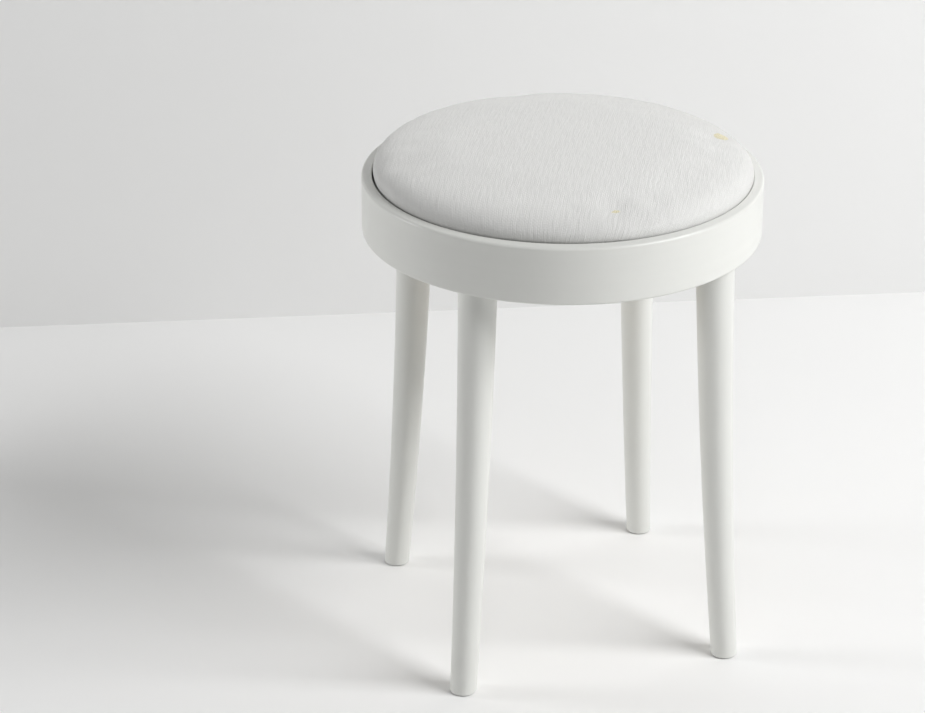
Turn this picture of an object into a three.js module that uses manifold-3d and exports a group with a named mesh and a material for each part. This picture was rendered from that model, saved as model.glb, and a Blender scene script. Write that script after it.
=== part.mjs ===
// A round vanity stool: a bent seat ring on four bent and tapered legs, with an upholstered pad let into it.
// Sizes are millimetres, +Z is up, and the origin lies on the floor under the middle of the seat.

import * as THREE from "three";
import { mergeVertices } from "three/addons/utils/BufferGeometryUtils.js";
import Module from "manifold-3d";

const wasm = await Module();
wasm.setup();

// Gaps and overruns
const FIT_GAP = 0.3; // glue line, or the air between two pieces that touch
const CUT_OVERRUN = 2; // how far a cutting tool runs past the face it opens

// Seat ring
const RING_DIAMETER = 360;
const RING_TOP = 447.5; // height of the ring's upper edge above the floor
const RING_HEIGHT = 53.5;
const LIP_WIDTH = 9.5; // wall that stands outside the pad
const LEDGE_WIDTH = 36.5; // shelf inside the lip, which carries the pad
const REBATE_DEPTH = 16; // from the ring's upper edge down to the shelf
const LIP_OUTER_ROUND = 4.5;
const LIP_INNER_ROUND = 3.5;
const RING_LOWER_ROUND = 2.5;
const RING_MOUTH_CHAMFER = 1.5; // both edges of the ring's open middle

// Legs
const LEG_TOP_DIAMETER = 34.4;
const LEG_FOOT_DIAMETER = 24;
const LEG_INSET = 9.8; // from the ring's outer face to the top of the leg
const LEG_SPREAD = 25; // how far each foot stands outside the top of its leg
const LEG_BOW = 2.85; // how far the bent leg leaves the straight line from top to foot
const LEG_FOOT_CHAMFER = 0.6;
const LEG_SHOULDER_CHAMFER = 0.6;
const TENON_DIAMETER = 22;
const TENON_CHAMFER = 1.5;
const TENON_ROOT = 6; // the part of the tenon that grows out of the leg below its shoulder
const TENON_AIR = 1; // space over the tenon for spare glue
const SOCKET_COVER = 8; // wood left between a tenon's socket and the shelf

// Screws that lock the tenons, driven outwards from the ring's open middle
const LOCK_SCREW = { length: 25, shank: 4, head: 8, rim: 0.6, point: 5 };
const LOCK_SCREW_SINK = 0.4; // how deep the head lies under the wood

// Glides, each let into its foot, and their screws
const GLIDE_DIAMETER = 18;
const GLIDE_HEIGHT = 3.5;
const GLIDE_STAND = 1; // how far the glide stands out of the foot
const GLIDE_EDGE = 0.5;
const GLIDE_SCREW = { length: 16, shank: 3, head: 6, rim: 0.4, point: 3.5 };
const GLIDE_SCREW_SINK = 0.8; // how deep the head lies under the glide

// Cross-shaped driver recess of the wood screws, as wide as their shank
const RECESS_DEPTH = 1.2;
const RECESS_ARM = 0.8; // width of one arm of the cross

// Upholstered pad
const PAD_SIDE_GAP = 1.7; // between the lip and the pad's upright side
const PAD_BULGE_GAP = 0.3; // between the lip and the pad's widest part, seen from above
const PAD_BULGE_RISE = 4; // height of the pad's widest part above the ring's upper edge
const PAD_RISE = 25.5; // height of the pad's middle above its widest part
const PAD_SHOULDER_ROUND = 9;
const PAD_BROW_ROUND = 40; // softer round between the shoulder and the crown
const FABRIC_THICKNESS = 1.5;
const BOARD_THICKNESS = 11;
const BOARD_EDGE = 1.2; // round of the board's lower edge
const HEM_SETBACK = 4; // from the ring's open middle to the cut edge of the turned-under cover
const BREATHER_DIAMETER = 10;
const BREATHER_CIRCLE = 150; // diameter of the circle of breather holes in the board

// Machine screws, washers and tee nuts that hold the pad down
const PAD_SCREW_DIAMETER = 5;
const PAD_SCREW_HEAD = 9.5;
const PAD_SCREW_HEAD_HEIGHT = 3.5;
const PAD_SCREW_HEAD_EDGE = 0.8;
const PAD_SCREW_SPARE = 2; // thread that stands out past the tee nut's flange, inside the foam
const SOCKET_WIDTH = 3; // across the flats of the hexagonal driver socket
const SOCKET_DEPTH = 2;
const WASHER_DIAMETER = 12;
const WASHER_THICKNESS = 1.2;
const CLAMPED_WOOD = 15; // wood left under the shelf for the washer to pull on
const COUNTERBORE_GAP = 1; // between the washer and the wall of its counterbore
const TEE_FLANGE_DIAMETER = 17;
const TEE_FLANGE_THICKNESS = 1.2;
const TEE_BARREL_DIAMETER = 7.5;
const TEE_BARREL_LENGTH = 8;
const TEE_PRONG_LENGTH = 5;
const TEE_PRONG_WIDTH = 2;

// Staples that hold the turned-under cover to the board
const STAPLE_CROWN = 10;
const STAPLE_LEG = 7;
const STAPLE_WIRE = 0.7;
const STAPLE_WIRE_WIDTH = 1.1;

// Counts, places and facets
const LEG_PLACES = ["back_right", "back_left", "front_left", "front_right"];
const PAD_SCREW_PLACES = ["right", "back", "left", "front"];
const LEG_COUNT = LEG_PLACES.length;
const PAD_SCREW_COUNT = PAD_SCREW_PLACES.length;
const STAPLE_COUNT = 24;
const STAPLE_PLACES = Array.from({ length: STAPLE_COUNT }, (_, i) => String(i + 1).padStart(2, "0"));
const BREATHER_COUNT = 4;
const TEE_PRONG_COUNT = 4;
const RING_FACETS = 72;
const PAD_FACETS = 40;
const LEG_FACETS = 24;
const LEG_STEPS = 8;
const DISC_FACETS = 16;
const HOLE_FACETS = 12;
const HEXAGON = 6;
const ROUND_STEPS = 2;
const SHOULDER_STEPS = 3;
const BROW_STEPS = 2;
const CROWN_STEPS = 2;

// Angles
const TURN = 2 * Math.PI;
const QUARTER = Math.PI / 2;
const FIRST_LEG_ANGLE = Math.PI / 4;
const FIRST_STAPLE_ANGLE = Math.PI / STAPLE_COUNT;
const BROW_ANGLE = Math.PI / 4; // where the pad's shoulder runs into its brow

// Seat ring, from the sizes above
const ringRadius = RING_DIAMETER / 2;
const lipRadius = ringRadius - LIP_WIDTH;
const mouthRadius = lipRadius - LEDGE_WIDTH;
const ledgeMiddle = mouthRadius + LEDGE_WIDTH / 2;
const ringBottom = RING_TOP - RING_HEIGHT;
const ledgeTop = RING_TOP - REBATE_DEPTH;

// Legs
const legTop = ringBottom - FIT_GAP;
const legFoot = GLIDE_STAND;
const legLength = legTop - legFoot;
const legTopCircle = ringRadius - LEG_INSET - LEG_TOP_DIAMETER / 2;
const footCircle = legTopCircle + LEG_SPREAD;
const socketTop = ledgeTop - SOCKET_COVER;
const lockHeight = (ringBottom + socketTop) / 2;

// The lean of the leg's centre line where it enters the ring: outward travel for each unit of height
const tenonLean = (4 * LEG_BOW - LEG_SPREAD) / legLength;

// Pad
const padSide = lipRadius - PAD_SIDE_GAP;
const bulgeRadius = lipRadius - PAD_BULGE_GAP;
const bulgeHeight = RING_TOP + PAD_BULGE_RISE;
const padTop = bulgeHeight + PAD_RISE;
const coverBottom = ledgeTop + FIT_GAP;
const boardBottom = coverBottom + FABRIC_THICKNESS + FIT_GAP;
const boardTop = boardBottom + BOARD_THICKNESS;
const boardRadius = padSide - FABRIC_THICKNESS - FIT_GAP;
const hemRadius = mouthRadius + HEM_SETBACK;

// Fasteners of the pad
const washerTop = ledgeTop - CLAMPED_WOOD - FIT_GAP;
const washerBottom = washerTop - WASHER_THICKNESS;
const screwHeadTop = washerBottom - FIT_GAP;
const teeFlangeBottom = boardTop + FIT_GAP;
const teeFlangeTop = teeFlangeBottom + TEE_FLANGE_THICKNESS;
const padScrewTip = teeFlangeTop + PAD_SCREW_SPARE;
const padScrewHole = PAD_SCREW_DIAMETER / 2 + FIT_GAP;

// Finishes
const paint = new THREE.MeshStandardMaterial({ color: 0xdedfda, roughness: 0.42, metalness: 0 });
const wool = new THREE.MeshStandardMaterial({ color: 0xd2d3d0, roughness: 0.95, metalness: 0 });
const foam = new THREE.MeshStandardMaterial({ color: 0xe9e2c4, roughness: 1, metalness: 0 });
const plywood = new THREE.MeshStandardMaterial({ color: 0xcdb183, roughness: 0.7, metalness: 0 });
const zinc = new THREE.MeshStandardMaterial({ color: 0xb6b8ba, roughness: 0.35, metalness: 1 });
const nylon = new THREE.MeshStandardMaterial({ color: 0x8f908d, roughness: 0.6, metalness: 0 });

// A closed geometry as a solid that can be joined and cut.
function solidOf(geometry) {
  const bare = geometry.index ? geometry.toNonIndexed() : geometry.clone();
  bare.deleteAttribute("normal");
  bare.deleteAttribute("uv");
  const merged = mergeVertices(bare);
  return new wasm.Manifold(
    new wasm.Mesh({
      numProp: 3,
      vertProperties: merged.getAttribute("position").array,
      triVerts: new Uint32Array(merged.index.array),
    }),
  );
}

// The geometry of a solid, with flat facets.
function geometryOf(solid) {
  const mesh = solid.getMesh();
  const geometry = new THREE.BufferGeometry();
  geometry.setAttribute("position", new THREE.BufferAttribute(mesh.vertProperties, mesh.numProp));
  geometry.setIndex(new THREE.BufferAttribute(mesh.triVerts, 1));
  const flat = geometry.toNonIndexed();
  flat.computeVertexNormals();
  return flat;
}

// Copies of a solid, turned about +Z by equal steps, as one cutting or joining tool.
function turnedCopies(solid, count, firstAngle) {
  const copies = Array.from({ length: count }, (_, i) => {
    const angle = firstAngle + (TURN * i) / count;
    return solid.rotate([0, 0, THREE.MathUtils.radToDeg(angle)]);
  });
  return wasm.Manifold.union(copies);
}

// The points of an arc, from one angle to another, in the half plane of a revolved outline.
function arc(centreRadius, centreHeight, radius, from, to, steps) {
  return Array.from({ length: steps + 1 }, (_, i) => {
    const angle = from + ((to - from) * i) / steps;
    return [centreRadius + radius * Math.cos(angle), centreHeight + radius * Math.sin(angle)];
  });
}

// A quarter round of an outline, which begins at an angle and runs anticlockwise.
function round(centreRadius, centreHeight, radius, from) {
  return arc(centreRadius, centreHeight, radius, from, from + QUARTER, ROUND_STEPS);
}

// Turns an outline of [radius, height] points about +Z. The outline runs anticlockwise.
function revolve(outline, facets) {
  const points = outline.map(([radius, height]) => new THREE.Vector2(radius, height));
  return new THREE.LatheGeometry(points, facets).rotateX(QUARTER);
}

// A revolved ring: its outline closes on itself.
function revolveClosed(outline, facets) {
  return revolve([...outline, outline[0]], facets);
}

// A round tool or pin that stands on +Z, from one height to another.
function cylinder(radius, from, to, facets) {
  return revolve([[0, from], [radius, from], [radius, to], [0, to]], facets);
}

// How far from the stool's middle the leg's centre line lies, at a share of its height above the foot.
function legOffset(heightShare) {
  const straight = footCircle - LEG_SPREAD * heightShare;
  return straight - 4 * LEG_BOW * heightShare * (1 - heightShare);
}

// Stacks level rings along the leg's centre line into one closed skin. Each level is [height, radius].
function legSkin(levels) {
  const positions = [];
  const index = [];
  levels.forEach(([height, radius]) => {
    const centre = legOffset((height - legFoot) / legLength);
    for (let i = 0; i < LEG_FACETS; i++) {
      const angle = (TURN * i) / LEG_FACETS;
      positions.push(centre + radius * Math.cos(angle), radius * Math.sin(angle), height);
    }
  });
  for (let level = 0; level + 1 < levels.length; level++) {
    for (let i = 0; i < LEG_FACETS; i++) {
      const next = (i + 1) % LEG_FACETS;
      const [a, b] = [level * LEG_FACETS + i, level * LEG_FACETS + next];
      const [c, d] = [a + LEG_FACETS, b + LEG_FACETS];
      index.push(a, b, d, a, d, c);
    }
  }
  const last = (levels.length - 1) * LEG_FACETS;
  for (let i = 1; i + 1 < LEG_FACETS; i++) {
    index.push(0, i + 1, i, last, last + i, last + i + 1);
  }
  const geometry = new THREE.BufferGeometry();
  geometry.setAttribute("position", new THREE.Float32BufferAttribute(positions, 3));
  geometry.setIndex(index);
  return geometry;
}

// Leans a pin on the origin along the leg's upper centre line and sets it where the leg meets the ring.
function atTenon(geometry) {
  return geometry.rotateY(Math.atan(tenonLean)).translate(legTopCircle, 0, ringBottom);
}

// A countersunk wood screw that stands on +Z, head down, with the face of its head at height zero.
// The hole for it is the same shape, grown all over and run out past the head.
function woodScrew({ length, shank, head, rim, point }, grow = 0, overrun = 0) {
  const headRadius = head / 2 + grow;
  const shankRadius = shank / 2 + grow;
  const outline = [
    [0, -overrun],
    [headRadius, -overrun],
    [headRadius, rim],
    [shankRadius, rim + headRadius - shankRadius],
    [shankRadius, length - point],
    [0, length + grow],
  ];
  return revolve(outline, HOLE_FACETS);
}

// A wood screw with the cross-shaped recess of its driver.
function recessedScrew(sizes) {
  const arm = new THREE.BoxGeometry(sizes.shank, RECESS_ARM, 2 * RECESS_DEPTH);
  const cross = solidOf(arm).add(solidOf(arm.clone().rotateZ(QUARTER)));
  return geometryOf(solidOf(woodScrew(sizes)).subtract(cross));
}

// Lays a screw on the origin outwards along +X, its head just under the wall of the ring's mouth.
function atLock(geometry) {
  return geometry.rotateY(QUARTER).translate(mouthRadius + LOCK_SCREW_SINK, 0, lockHeight);
}

function lockScrewHole() {
  return atLock(woodScrew(LOCK_SCREW, FIT_GAP, LOCK_SCREW_SINK + CUT_OVERRUN));
}

// Sets a screw on the origin upright under the middle of the foot.
function atFoot(geometry) {
  return geometry.translate(footCircle, 0, GLIDE_SCREW_SINK);
}

function glideScrewHole() {
  return atFoot(woodScrew(GLIDE_SCREW, FIT_GAP, GLIDE_SCREW_SINK + CUT_OVERRUN));
}

// The disc under one foot, with the countersunk hole of its screw.
function glide() {
  const radius = GLIDE_DIAMETER / 2;
  const outline = [
    [0, 0],
    [radius - GLIDE_EDGE, 0],
    [radius, GLIDE_EDGE],
    [radius, GLIDE_HEIGHT],
    [0, GLIDE_HEIGHT],
  ];
  const disc = revolve(outline, DISC_FACETS).translate(footCircle, 0, 0);
  return geometryOf(solidOf(disc).subtract(solidOf(glideScrewHole())));
}

// One leg over +X: a bent, tapered shaft with a flat shoulder, a round tenon, the holes of its screws and the
// pocket of its glide.
function leg() {
  const footRadius = LEG_FOOT_DIAMETER / 2;
  const topRadius = LEG_TOP_DIAMETER / 2;
  const taperFoot = legFoot + LEG_FOOT_CHAMFER;
  const taperTop = legTop - LEG_SHOULDER_CHAMFER;
  const shaft = Array.from({ length: LEG_STEPS + 1 }, (_, i) => [
    taperFoot + ((taperTop - taperFoot) * i) / LEG_STEPS,
    footRadius + ((topRadius - footRadius) * i) / LEG_STEPS,
  ]);
  const levels = [
    [legFoot, footRadius - LEG_FOOT_CHAMFER],
    ...shaft,
    [legTop, topRadius - LEG_SHOULDER_CHAMFER],
  ];
  const pocketRadius = GLIDE_DIAMETER / 2 + FIT_GAP;
  const pocket = cylinder(pocketRadius, legFoot - CUT_OVERRUN, GLIDE_HEIGHT + FIT_GAP, DISC_FACETS);
  const tenonRadius = TENON_DIAMETER / 2;
  const tenonTop = socketTop - ringBottom - TENON_AIR;
  const tenon = revolve(
    [
      [0, -TENON_ROOT],
      [tenonRadius, -TENON_ROOT],
      [tenonRadius, tenonTop - TENON_CHAMFER],
      [tenonRadius - TENON_CHAMFER, tenonTop],
      [0, tenonTop],
    ],
    LEG_FACETS,
  );
  return geometryOf(
    solidOf(legSkin(levels))
      .add(solidOf(atTenon(tenon)))
      .subtract(solidOf(lockScrewHole()))
      .subtract(solidOf(glideScrewHole()))
      .subtract(solidOf(pocket.translate(footCircle, 0, 0))),
  );
}

// The bent seat ring: rounded lip, shelf for the pad, sockets of the tenons and holes of the screws.
function seatRing() {
  const outline = [
    [mouthRadius + RING_MOUTH_CHAMFER, ringBottom],
    ...round(ringRadius - RING_LOWER_ROUND, ringBottom + RING_LOWER_ROUND, RING_LOWER_ROUND, -QUARTER),
    ...round(ringRadius - LIP_OUTER_ROUND, RING_TOP - LIP_OUTER_ROUND, LIP_OUTER_ROUND, 0),
    ...round(lipRadius + LIP_INNER_ROUND, RING_TOP - LIP_INNER_ROUND, LIP_INNER_ROUND, QUARTER),
    [lipRadius, ledgeTop],
    [mouthRadius + RING_MOUTH_CHAMFER, ledgeTop],
    [mouthRadius, ledgeTop - RING_MOUTH_CHAMFER],
    [mouthRadius, ringBottom + RING_MOUTH_CHAMFER],
  ];
  const socket = cylinder(TENON_DIAMETER / 2 + FIT_GAP, -CUT_OVERRUN, socketTop - ringBottom, LEG_FACETS);
  const legCuts = solidOf(atTenon(socket)).add(solidOf(lockScrewHole()));
  const boreRadius = WASHER_DIAMETER / 2 + COUNTERBORE_GAP;
  const counterbore = cylinder(boreRadius, ringBottom - CUT_OVERRUN, washerTop + FIT_GAP, DISC_FACETS);
  const screwHole = cylinder(padScrewHole, ringBottom, ledgeTop + CUT_OVERRUN, HOLE_FACETS);
  const screwCuts = solidOf(counterbore).add(solidOf(screwHole)).translate([ledgeMiddle, 0, 0]);
  return geometryOf(
    solidOf(revolveClosed(outline, RING_FACETS))
      .subtract(turnedCopies(legCuts, LEG_COUNT, FIRST_LEG_ANGLE))
      .subtract(turnedCopies(screwCuts, PAD_SCREW_COUNT, 0)),
  );
}

// The pad's outline from its upright side up to its middle, set in from the outer face of the cover.
// A tight shoulder, a softer brow and a flat crown follow each other, and each two share a tangent.
function padOutline(inset) {
  const shoulderAcross = bulgeRadius - PAD_SHOULDER_ROUND;
  const tuck = Math.acos((padSide - shoulderAcross) / PAD_SHOULDER_ROUND);
  const shoulder = PAD_SHOULDER_ROUND - inset;
  const browShift = PAD_BROW_ROUND - PAD_SHOULDER_ROUND;
  const browAcross = shoulderAcross - browShift * Math.cos(BROW_ANGLE);
  const browHeight = bulgeHeight - browShift * Math.sin(BROW_ANGLE);
  const brow = PAD_BROW_ROUND - inset;
  const rise = padTop - browHeight;
  const crownRadius =
    (browAcross ** 2 + rise ** 2 - PAD_BROW_ROUND ** 2) / (2 * (rise - PAD_BROW_ROUND));
  const meet = Math.acos(browAcross / (crownRadius - PAD_BROW_ROUND));
  const crown = crownRadius - inset;
  return [
    ...arc(shoulderAcross, bulgeHeight, shoulder, -tuck, BROW_ANGLE, SHOULDER_STEPS),
    ...arc(browAcross, browHeight, brow, BROW_ANGLE, meet, BROW_STEPS).slice(1),
    ...arc(0, padTop - crownRadius, crown, meet, QUARTER, CROWN_STEPS).slice(1),
  ];
}

// Foam block: crowned on top, flat on the board, with a relief over each tee nut.
function padFoam() {
  const bottom = boardTop + FIT_GAP;
  const block = revolve(
    [[0, bottom], [boardRadius, bottom], ...padOutline(FABRIC_THICKNESS + FIT_GAP)],
    PAD_FACETS,
  );
  const reliefRadius = TEE_FLANGE_DIAMETER / 2 + FIT_GAP;
  const relief = cylinder(reliefRadius, bottom - CUT_OVERRUN, padScrewTip + FIT_GAP, HOLE_FACETS);
  const reliefs = turnedCopies(solidOf(relief.translate(ledgeMiddle, 0, 0)), PAD_SCREW_COUNT, 0);
  return geometryOf(solidOf(block).subtract(reliefs));
}

// A staple over +X, standing on its crown, which lies along the edge. Grown, it is the pocket that it makes.
function staple(grow = 0) {
  const outside = STAPLE_CROWN / 2 + grow;
  const inside = STAPLE_CROWN / 2 - STAPLE_WIRE - grow;
  const crownTop = STAPLE_WIRE + grow;
  const tip = STAPLE_LEG + grow;
  const outline = new THREE.Shape();
  outline.moveTo(-outside, -grow);
  outline.lineTo(outside, -grow);
  outline.lineTo(outside, tip);
  outline.lineTo(inside, tip);
  outline.lineTo(inside, crownTop);
  outline.lineTo(-inside, crownTop);
  outline.lineTo(-inside, tip);
  outline.lineTo(-outside, tip);
  outline.closePath();
  const depth = STAPLE_WIRE_WIDTH + 2 * grow;
  const bar = new THREE.ExtrudeGeometry(outline, { depth, bevelEnabled: false, steps: 1 });
  const upright = bar.translate(0, 0, -depth / 2).rotateX(QUARTER).rotateZ(QUARTER);
  return upright.translate(ledgeMiddle, 0, coverBottom);
}

// The slit that one staple presses into the hem of the cover.
function hemSlit() {
  const width = STAPLE_WIRE_WIDTH + 2 * FIT_GAP;
  const length = STAPLE_CROWN + 2 * FIT_GAP;
  const slit = new THREE.BoxGeometry(width, length, 2 * (FABRIC_THICKNESS + CUT_OVERRUN));
  return slit.translate(ledgeMiddle, 0, coverBottom);
}

// The holes of the pad screws and the staples in the board or the cover, given the hole of one staple.
function padCuts(stapleHole) {
  const screwHole = cylinder(padScrewHole, coverBottom - CUT_OVERRUN, boardTop + CUT_OVERRUN, HOLE_FACETS);
  const screwHoles = turnedCopies(solidOf(screwHole.translate(ledgeMiddle, 0, 0)), PAD_SCREW_COUNT, 0);
  return screwHoles.add(turnedCopies(solidOf(stapleHole), STAPLE_COUNT, FIRST_STAPLE_ANGLE));
}

// Round plywood board with its screw, tee nut, staple and breather holes.
function padBoard() {
  const disc = revolve(
    [
      [0, boardBottom],
      ...round(boardRadius - BOARD_EDGE, boardBottom + BOARD_EDGE, BOARD_EDGE, -QUARTER),
      [boardRadius, boardTop],
      [0, boardTop],
    ],
    PAD_FACETS,
  );
  const barrelBottom = teeFlangeBottom - TEE_BARREL_LENGTH - FIT_GAP;
  const barrelRadius = TEE_BARREL_DIAMETER / 2 + FIT_GAP;
  const barrel = cylinder(barrelRadius, barrelBottom, boardTop + CUT_OVERRUN, HOLE_FACETS);
  const seat = solidOf(barrel).add(prongs(FIT_GAP)).translate([ledgeMiddle, 0, 0]);
  const breatherRadius = BREATHER_DIAMETER / 2;
  const breather = solidOf(
    cylinder(breatherRadius, boardBottom - CUT_OVERRUN, boardTop + CUT_OVERRUN, HOLE_FACETS),
  );
  const outerBreather = breather.translate([BREATHER_CIRCLE / 2, 0, 0]);
  return geometryOf(
    solidOf(disc)
      .subtract(turnedCopies(seat, PAD_SCREW_COUNT, 0))
      .subtract(turnedCopies(outerBreather, BREATHER_COUNT, FIRST_LEG_ANGLE))
      .subtract(breather)
      .subtract(padCuts(staple(FIT_GAP))),
  );
}

// Fabric cover: over the crown, down the upright side and turned under the board to its stapled hem.
function padCover() {
  const innerTurn = BOARD_EDGE + FIT_GAP;
  const outerTurn = innerTurn + FABRIC_THICKNESS;
  const turnRadius = padSide - outerTurn;
  const turnHeight = coverBottom + outerTurn;
  const outline = [
    [hemRadius, coverBottom],
    ...round(turnRadius, turnHeight, outerTurn, -QUARTER),
    ...padOutline(0),
    ...padOutline(FABRIC_THICKNESS).reverse(),
    ...round(turnRadius, turnHeight, innerTurn, -QUARTER).reverse(),
    [hemRadius, coverBottom + FABRIC_THICKNESS],
  ];
  const skin = solidOf(revolveClosed(outline, PAD_FACETS));
  return geometryOf(skin.subtract(padCuts(hemSlit())));
}

// The prongs of a tee nut on +Z, under its flange. Grown, they are the slits that they cut.
function prongs(grow = 0) {
  const thickness = TEE_FLANGE_THICKNESS + 2 * grow;
  const width = TEE_PRONG_WIDTH + 2 * grow;
  const height = TEE_PRONG_LENGTH + TEE_FLANGE_THICKNESS / 2 + grow;
  const prong = new THREE.BoxGeometry(thickness, width, height).translate(
    TEE_FLANGE_DIAMETER / 2 - TEE_PRONG_WIDTH,
    0,
    teeFlangeBottom + TEE_FLANGE_THICKNESS / 2 - height / 2,
  );
  return turnedCopies(solidOf(prong), TEE_PRONG_COUNT, FIRST_LEG_ANGLE);
}

// Tee nut: a flange on the board, a barrel down into it and prongs that bite the wood.
function teeNut() {
  const barrelRadius = TEE_BARREL_DIAMETER / 2;
  const flangeRadius = TEE_FLANGE_DIAMETER / 2;
  const outline = [
    [padScrewHole, teeFlangeBottom - TEE_BARREL_LENGTH],
    [barrelRadius, teeFlangeBottom - TEE_BARREL_LENGTH],
    [barrelRadius, teeFlangeBottom],
    [flangeRadius, teeFlangeBottom],
    [flangeRadius, teeFlangeTop],
    [padScrewHole, teeFlangeTop],
  ];
  const body = solidOf(revolveClosed(outline, HOLE_FACETS));
  return geometryOf(body.add(prongs())).translate(ledgeMiddle, 0, 0);
}

function washer() {
  const outline = [
    [padScrewHole, washerBottom],
    [WASHER_DIAMETER / 2, washerBottom],
    [WASHER_DIAMETER / 2, washerTop],
    [padScrewHole, washerTop],
  ];
  return revolveClosed(outline, DISC_FACETS).translate(ledgeMiddle, 0, 0);
}

// Machine screw with a round head and a hexagonal driver socket, driven up from under the ring.
function padScrew() {
  const headRadius = PAD_SCREW_HEAD / 2;
  const headBottom = screwHeadTop - PAD_SCREW_HEAD_HEIGHT;
  const shankRadius = PAD_SCREW_DIAMETER / 2;
  const outline = [
    [0, headBottom],
    [headRadius - PAD_SCREW_HEAD_EDGE, headBottom],
    [headRadius, headBottom + PAD_SCREW_HEAD_EDGE],
    [headRadius, screwHeadTop],
    [shankRadius, screwHeadTop],
    [shankRadius, padScrewTip],
    [0, padScrewTip],
  ];
  const cornerRadius = SOCKET_WIDTH / 2 / Math.cos(Math.PI / HEXAGON);
  const socket = cylinder(cornerRadius, headBottom - CUT_OVERRUN, headBottom + SOCKET_DEPTH, HEXAGON);
  const screw = solidOf(revolve(outline, HOLE_FACETS)).subtract(solidOf(socket));
  return geometryOf(screw).translate(ledgeMiddle, 0, 0);
}

// One named piece of the stool.
function piece(name, geometry, material) {
  const mesh = new THREE.Mesh(geometry, material);
  mesh.name = name;
  return mesh;
}

// Adds a set of pieces to the stool once for each place round it. The pieces are modelled over +X.
function addRound(stool, places, firstAngle, piecesAt) {
  places.forEach((place, i) => {
    const station = new THREE.Group();
    station.rotation.z = firstAngle + (TURN * i) / places.length;
    station.add(...piecesAt(place));
    stool.add(station);
  });
}

const legGeometry = leg();
const glideGeometry = glide();
const glideScrewGeometry = atFoot(recessedScrew(GLIDE_SCREW));
const lockScrewGeometry = atLock(recessedScrew(LOCK_SCREW));
const padScrewGeometry = padScrew();
const washerGeometry = washer();
const teeNutGeometry = teeNut();
const stapleGeometry = staple();

const stool = new THREE.Group();
stool.add(
  piece("seat_ring", seatRing(), paint),
  piece("pad_board", padBoard(), plywood),
  piece("pad_foam", padFoam(), foam),
  piece("pad_cover", padCover(), wool),
);
addRound(stool, LEG_PLACES, FIRST_LEG_ANGLE, (place) => [
  piece(`leg_${place}`, legGeometry, paint),
  piece(`glide_${place}`, glideGeometry, nylon),
  piece(`glide_screw_${place}`, glideScrewGeometry, zinc),
  piece(`lock_screw_${place}`, lockScrewGeometry, zinc),
]);
addRound(stool, PAD_SCREW_PLACES, 0, (place) => [
  piece(`pad_screw_${place}`, padScrewGeometry, zinc),
  piece(`pad_washer_${place}`, washerGeometry, zinc),
  piece(`tee_nut_${place}`, teeNutGeometry, zinc),
]);
addRound(stool, STAPLE_PLACES, FIRST_STAPLE_ANGLE, (place) => [
  piece(`staple_${place}`, stapleGeometry, zinc),
]);

export default stool;
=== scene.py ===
"""A round vanity stool: a lacquered seat ring on four bent legs, with a woven, crowned pad in the ring.

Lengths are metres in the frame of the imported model: +Z is up and the origin lies on the floor under the
seat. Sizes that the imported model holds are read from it, and the rest are fields of the piece that they
belong to.
"""

from __future__ import annotations

import logging
import math
from collections.abc import Callable, Iterable, Iterator, Sequence
from contextlib import contextmanager
from dataclasses import dataclass, field
from enum import Enum

import bmesh
import bpy
import numpy as np
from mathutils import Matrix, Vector


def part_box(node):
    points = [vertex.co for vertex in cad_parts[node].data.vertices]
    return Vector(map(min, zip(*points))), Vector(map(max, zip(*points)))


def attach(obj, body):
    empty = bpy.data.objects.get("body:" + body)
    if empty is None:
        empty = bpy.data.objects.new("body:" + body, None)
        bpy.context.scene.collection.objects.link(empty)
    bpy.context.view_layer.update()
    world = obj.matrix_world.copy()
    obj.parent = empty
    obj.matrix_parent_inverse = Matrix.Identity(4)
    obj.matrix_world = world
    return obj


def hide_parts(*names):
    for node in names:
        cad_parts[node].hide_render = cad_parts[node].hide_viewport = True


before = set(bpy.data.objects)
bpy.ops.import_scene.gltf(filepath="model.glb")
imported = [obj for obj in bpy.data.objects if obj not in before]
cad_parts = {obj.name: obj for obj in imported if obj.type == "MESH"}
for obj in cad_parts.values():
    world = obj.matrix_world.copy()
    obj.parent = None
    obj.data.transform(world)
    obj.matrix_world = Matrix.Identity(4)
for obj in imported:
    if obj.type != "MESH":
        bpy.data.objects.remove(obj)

log = logging.getLogger("stool")

MM = 0.001
TURN = 2 * math.pi
QUARTER = math.pi / 2
BODY = "root"

# How far a picked point, or the radius of a picked circle, may lie from its place
NEAR = 0.01 * MM
NEAR_RADIUS = 0.1 * MM
TINY = 0.001 * MM
DOUBLES = 0.002 * MM
# Least share of +Z in a direction that counts as upright
UPRIGHT = 0.99
# Bend of a surface that the attribute edge marks with 1
FULL_EDGE = math.radians(24)
# Profile of a bevel that makes it a true round
ROUND = 0.5
# Factor of a smoothing pass
EASE = 0.5
# Middle of a noise, and the range that most of a soft noise fills
MIDDLE = 0.5
SOFT_NOISE = (0.3, 0.7)


class Slot(Enum):
    """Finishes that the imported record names."""

    PAINTED_WOOD = "painted_wood"
    WOVEN_COVER = "woven_cover"
    FOAM = "foam"
    PLYWOOD = "plywood"
    ZINC_STEEL = "zinc_steel"
    GLIDE_PLASTIC = "glide_plastic"


class LegPlace(Enum):
    """The four legs, with the angle of each round the seat in degrees."""

    BACK_RIGHT = 45
    BACK_LEFT = 135
    FRONT_LEFT = 225
    FRONT_RIGHT = 315


class ScrewPlace(Enum):
    """The four pad screws, with the angle of each round the seat in degrees."""

    RIGHT = 0
    BACK = 90
    LEFT = 180
    FRONT = 270


class Part(Enum):
    """What a test in edit mode picks."""

    POINT = "VERT"
    EDGE = "EDGE"
    FACE = "FACE"


# Work at the bench


def clear_selection() -> None:
    """Deselects every object."""
    bpy.ops.object.select_all(action="DESELECT")


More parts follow.
